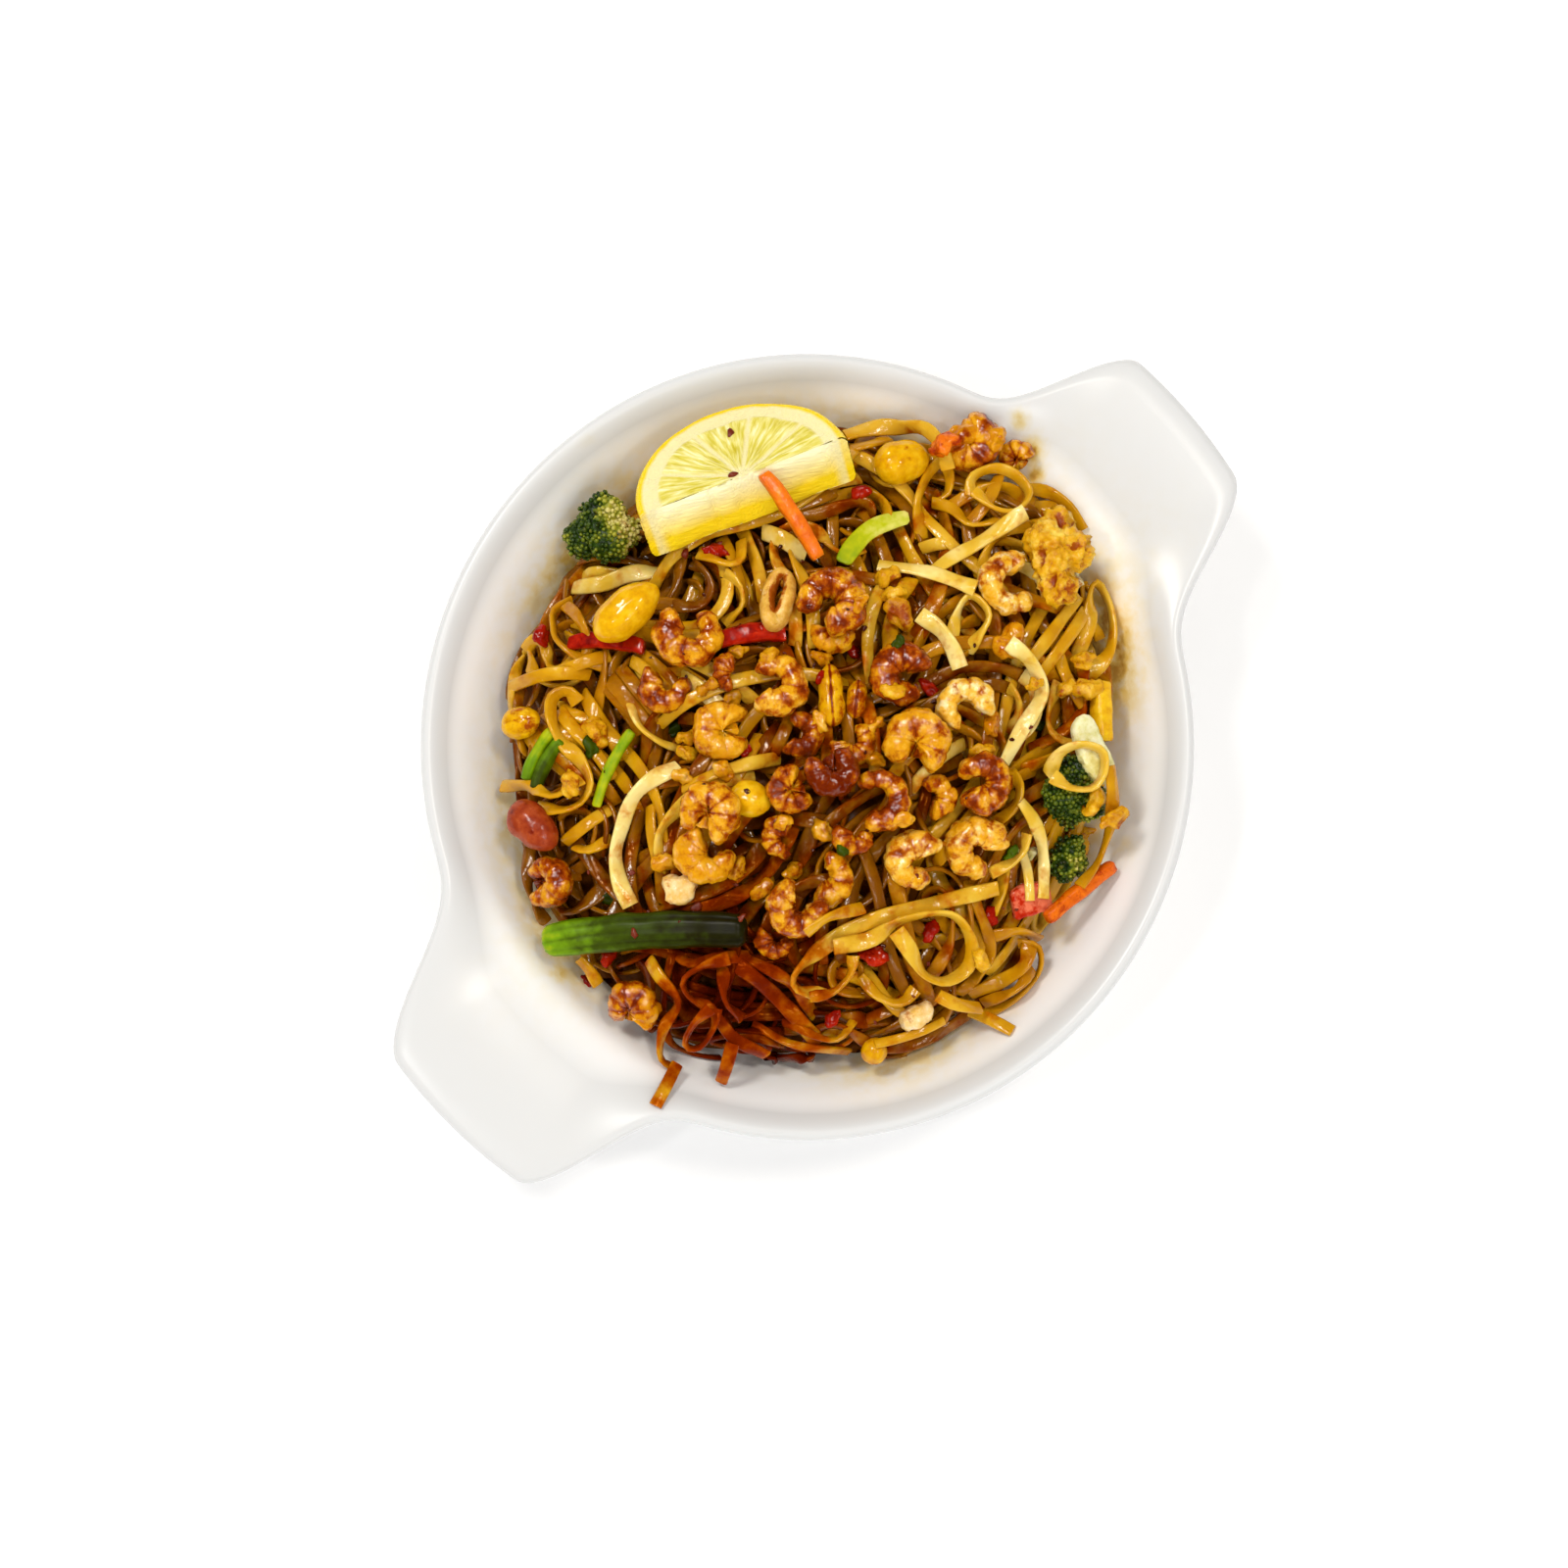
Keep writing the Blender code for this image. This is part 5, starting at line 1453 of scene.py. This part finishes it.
bits = {
    # finish, slot, tone, flatness, then places with a size each
    "pepperBits": ("pepper", "red_pepper", 0.5, 0.42, (
        (-31, 67, 4.5), (54, 37, 4), (31, -12, 4.5), (-75, -5, 5), (-26, -51, 6), (-44, -56, 4), (3, -65, 4.5),
        (-84, -5, 3.5), (-11, -57, 5), (16, 51, 6), (12, 8, 3), (-14, 8, 3), (24, 8, 4))),
    "carrotBit": ("carrot", "carrot", 0.55, 0.9, ((78, 31, 6.5),)),
    "greenBits": ("stalk", "scallion", 0.40, 0.5, (
        (-65, 6, 4.5), (-23, 26, 4), (-14, -27, 3.5), (32, 1, 3), (-41, 37, 5), (18, -57, 4), (47, -38, 4))),
    "eggBits": ("egg", "egg", 0.5, 0.75, (
        (43, 16, 6), (38, 7, 7), (41, 11, 5), (23, -7, 5), (-38, 39, 6.5), (-25, 18, 5), (42, -68, 6), (-7, -71, 5),
        (62, -40, 7), (58, -36, 5), (66, -34, 5), (51, -30, 4), (41, -62, 6), (39, -67, 5), (34, -68, 5), (6, 21, 5),
        (-22, 21, 5), (2, 28, 4.5), (-36, -12, 5), (-52, 33, 6), (-10, 26, 5), (30, -33, 5))),
    "whiteBits": ("cabbage", "cabbage", 0.4, 0.5, ((79, -18, 3.5), (22, -60, 4))),
    "meatBits": ("shrimp", "shrimp", 0.45, 0.8, (
        (-22, 8, 5), (4, 0, 4.5), (-8, 20, 5), (-26, -22, 5), (16, 12, 4.5), (31, 14, 4), (8, -16, 5), (-14, -20, 5),
        (84, 30, 7), (89, 23, 6), (-48, 2, 5), (-35, -20, 5), (2, -32, 5), (36, -30, 4.5), (-30, 14, 4.5),
        (14, -10, 4), (-20, -12, 4))),
}
bitSauce = 0.26
# for its size: length, breadth, height above what it lies on, then height and size of each uneven swelling;
# how far it may tip, in radians, and how much its tone may wander
crumbs = {"long": 1.25, "broad": (0.6, 0.95), "raised": 0.12, "unevenness": ((0.3, 0.42), (0.12, 0.17)),
          "tip": 0.5, "toneSpread": 0.15}
smallestShrimp = {"size": 5.2, "turn": 180, "thickness": 0.45, "place": (-3, 24), "raised": 1.4, "heading": 315,
                  "sauce": 0.44, "tone": 0.45}


def surfaceAt(x, y):
    return float(readMap(ground, np.array([float(x)]), np.array([float(y)]))[0])


def growBit(body, x, y, size, flatness, tone, sauce, rand, detail=3):
    # one crumpled crumb resting on whatever is below it
    crumb = ballBody(detail, size / 2, "tone", "sauce", "groove")
    bmesh.ops.scale(crumb, vec=(crumbs["long"], rand.uniform(*crumbs["broad"]), flatness), verts=crumb.verts)
    for height, width in crumbs["unevenness"]:
        roughen(crumb, size * height, size * width, rand.uniform(0, 50))
    turn = (Matrix.Translation((x, y, surfaceAt(x, y) + size * flatness * crumbs["raised"]))
            @ Matrix.Rotation(rand.uniform(0, math.tau), 4, "Z")
            @ Matrix.Rotation(rand.uniform(-crumbs["tip"], crumbs["tip"]), 4, "X"))
    bmesh.ops.transform(crumb, matrix=turn, verts=crumb.verts)
    setLayer(crumb, "tone", clamped(tone + rand.uniform(-crumbs["toneSpread"], crumbs["toneSpread"])))
    setLayer(crumb, "sauce", sauce)
    mesh = bpy.data.meshes.new("crumb")
    crumb.to_mesh(mesh)
    crumb.free()
    body.from_mesh(mesh)
    bpy.data.meshes.remove(mesh)


def makeBits():
    for index, (name, (finish, slot, tone, flatness, places)) in enumerate(bits.items()):
        rand = random.Random(index + 70)
        body = newBody("tone", "sauce", "groove")
        for x, y, size in places:
            growBit(body, x, y, size, flatness, tone, bitSauce, rand)
        finishPiece(name, body, finish, slot)
    # the smallest shrimp, curled between the larger ones
    body = shrimpBody(smallestShrimp["size"], smallestShrimp["turn"], smallestShrimp["thickness"], 77)
    x, y = smallestShrimp["place"]
    turn = (Matrix.Translation((x, y, surfaceAt(x, y) + smallestShrimp["raised"]))
            @ Matrix.Rotation(math.radians(smallestShrimp["heading"]), 4, "Z"))
    bmesh.ops.transform(body, matrix=turn, verts=body.verts)
    for name in ("sauce", "tone"):
        setLayer(body, name, smallestShrimp[name])
    finishPiece("smallestShrimp", body, "shrimp", "shrimp")


specks = {
    # finish, flatness, those listed one by one (place and size), then of the scattered ones the number, how far they
    # reach, where their middle lies, how far they keep from the lemon's middle, and their sizes
    "chilliFlakes": ("flake", 0.35, (
        (39, 70, 2.6), (31, 60, 2.2), (10, 56, 2.2), (18, 52, 2.0), (-56, 6, 1.6), (-66, -6, 2.2), (-50, -12, 2.6),
        (-60, -4, 1.4), (-44, -22, 2.4)), 22, 76, 0, 32, (0.6, 1.2)),
    "sauceBeads": ("core", 0.45, (), 40, 56, -4, 0, (0.6, 1.4)),
}


def scatterSpecks(rand, count, reach, shift, clear, sizes):
    for _ in range(count):
        radius, turn = reach * math.sqrt(rand.random()), rand.uniform(0, math.tau)
        x, y = radius * math.cos(turn) + shift, radius * math.sin(turn) + shift
        if math.dist((x, y), lemon["middle"]) > clear:
            yield x, y, rand.uniform(*sizes)


def makeSpecks():
    # chilli flakes, and beads of sauce that settled on the toppings
    rand = random.Random(91)
    for name, (finish, flatness, placed, *spread) in specks.items():
        body = newBody("tone", "sauce", "groove")
        places = scatterSpecks(rand, *spread)
        if placed:
            places = [*placed, *places]
        for x, y, size in places:
            growBit(body, x, y, size, flatness, 0.5, 0.0, rand, detail=2)
        finishPiece(name, body, finish, "noodles")


makeBits()
makeSpecks()
print("bits made:", len(bits) + 3)


# floor, light and camera

view = {"heading": -43.5, "elevation": 84.0, "distance": 620.0, "aim": (0, 0, 47), "shiftRight": 6.03,
        "shiftUp": 11.31, "lens": 55.521}

lights = {
    # sideways, upwards, height and size in metres, watts, colour
    "window": (-0.40, 0.38, 0.95, 0.24, 4.2, "fffdf8"),
    "ceiling": (0.30, 0.20, 1.2, 0.20, 3.2, "fff8ee"),
    "nearLamp": (0.28, -0.34, 1.0, 0.07, 0.9, "ffffff"),
    "farLamp": (-0.42, -0.16, 1.0, 0.07, 0.9, "ffffff"),
    "fill": (0.1, -0.9, 0.8, 0.9, 4.2, "ffffff"),
}


def viewAxes():
    heading, lift = math.radians(view["heading"]), math.radians(view["elevation"])
    right = Vector((math.cos(heading), math.sin(heading), 0))
    forward = Vector((-math.sin(heading) * math.cos(lift), math.cos(heading) * math.cos(lift), -math.sin(lift)))
    return right, forward, right.cross(forward)


def addCamera():
    right, forward, up = viewAxes()
    place = (Vector(view["aim"]) - forward * view["distance"] - right * view["shiftRight"]
             - up * view["shiftUp"]) * metres
    camera = bpy.data.cameras.new("camera")
    camera.sensor_width = 36
    camera.lens = view["lens"]
    camera.clip_start, camera.clip_end = 0.01, 20
    holder = addObject("camera", camera)
    holder.matrix_world = Matrix.Translation(place) @ Matrix((right, up, -forward)).transposed().to_4x4()
    bpy.context.scene.camera = holder


def addLight(name, sideways, upwards, height, size, watts, colour):
    # placed by the camera's own right and up directions, in metres, aimed at the food
    right, up = viewAxes()[::2]
    flatUp = Vector((up.x, up.y, 0)).normalized()
    place = right * sideways + flatUp * upwards + Vector((0, 0, height))
    light = bpy.data.lights.new(name, "AREA")
    light.shape = "DISK"
    light.size = size
    light.energy = watts
    light.color = hexColour(colour)[:3]
    holder = addObject(name, light)
    holder.location = place
    holder.rotation_euler = (Vector((0, 0, 0.04)) - place).to_track_quat("-Z", "Y").to_euler()
    # the large soft fill leaves no shine of its own
    holder.visible_glossy = size < 0.5


def addStage():
    floor = bmesh.new()
    bmesh.ops.create_grid(floor, x_segments=1, y_segments=1, size=3.0)
    mesh = bpy.data.meshes.new("floor")
    floor.to_mesh(mesh)
    floor.free()
    # white acrylic over a light table, so shadows stay pale
    mesh.materials.append(newMaterial("litAcrylic", {
        "Base Color": hexColour("fbfbfb"), "Roughness": 0.9, "Specular IOR Level": 0.0,
        "Emission Color": hexColour("ffffff"), "Emission Strength": 0.01})[0])
    addObject("floor", mesh)
    world = bpy.data.worlds.new("softRoom")
    world.use_nodes = True
    # bright walls and a dim ceiling, so flat wet food seen from above doesn't turn milky
    direction = addNode(world, "TexCoord")
    height = addNode(world, "SeparateXYZ", {}, {0: direction.outputs["Generated"]})
    walls = addNode(world, "ValToRGB", {"stops": (
        (0.0, "ffffff"), (0.55, "f4f3f2"), (0.85, "989796"), (1.0, "686766"))}, {0: height.outputs[2]})
    backdrop = world.node_tree.nodes["Background"]
    link(world, walls, backdrop.inputs[0])
    backdrop.inputs[1].default_value = 0.95
    world.cycles_visibility.glossy = False
    bpy.context.scene.world = world
    bpy.context.scene.view_settings.view_transform = "Standard"
    bpy.context.scene.view_settings.look = "None"


addCamera()
addStage()
for name, spec in lights.items():
    addLight(name, *spec)
print("floor, light and camera set")
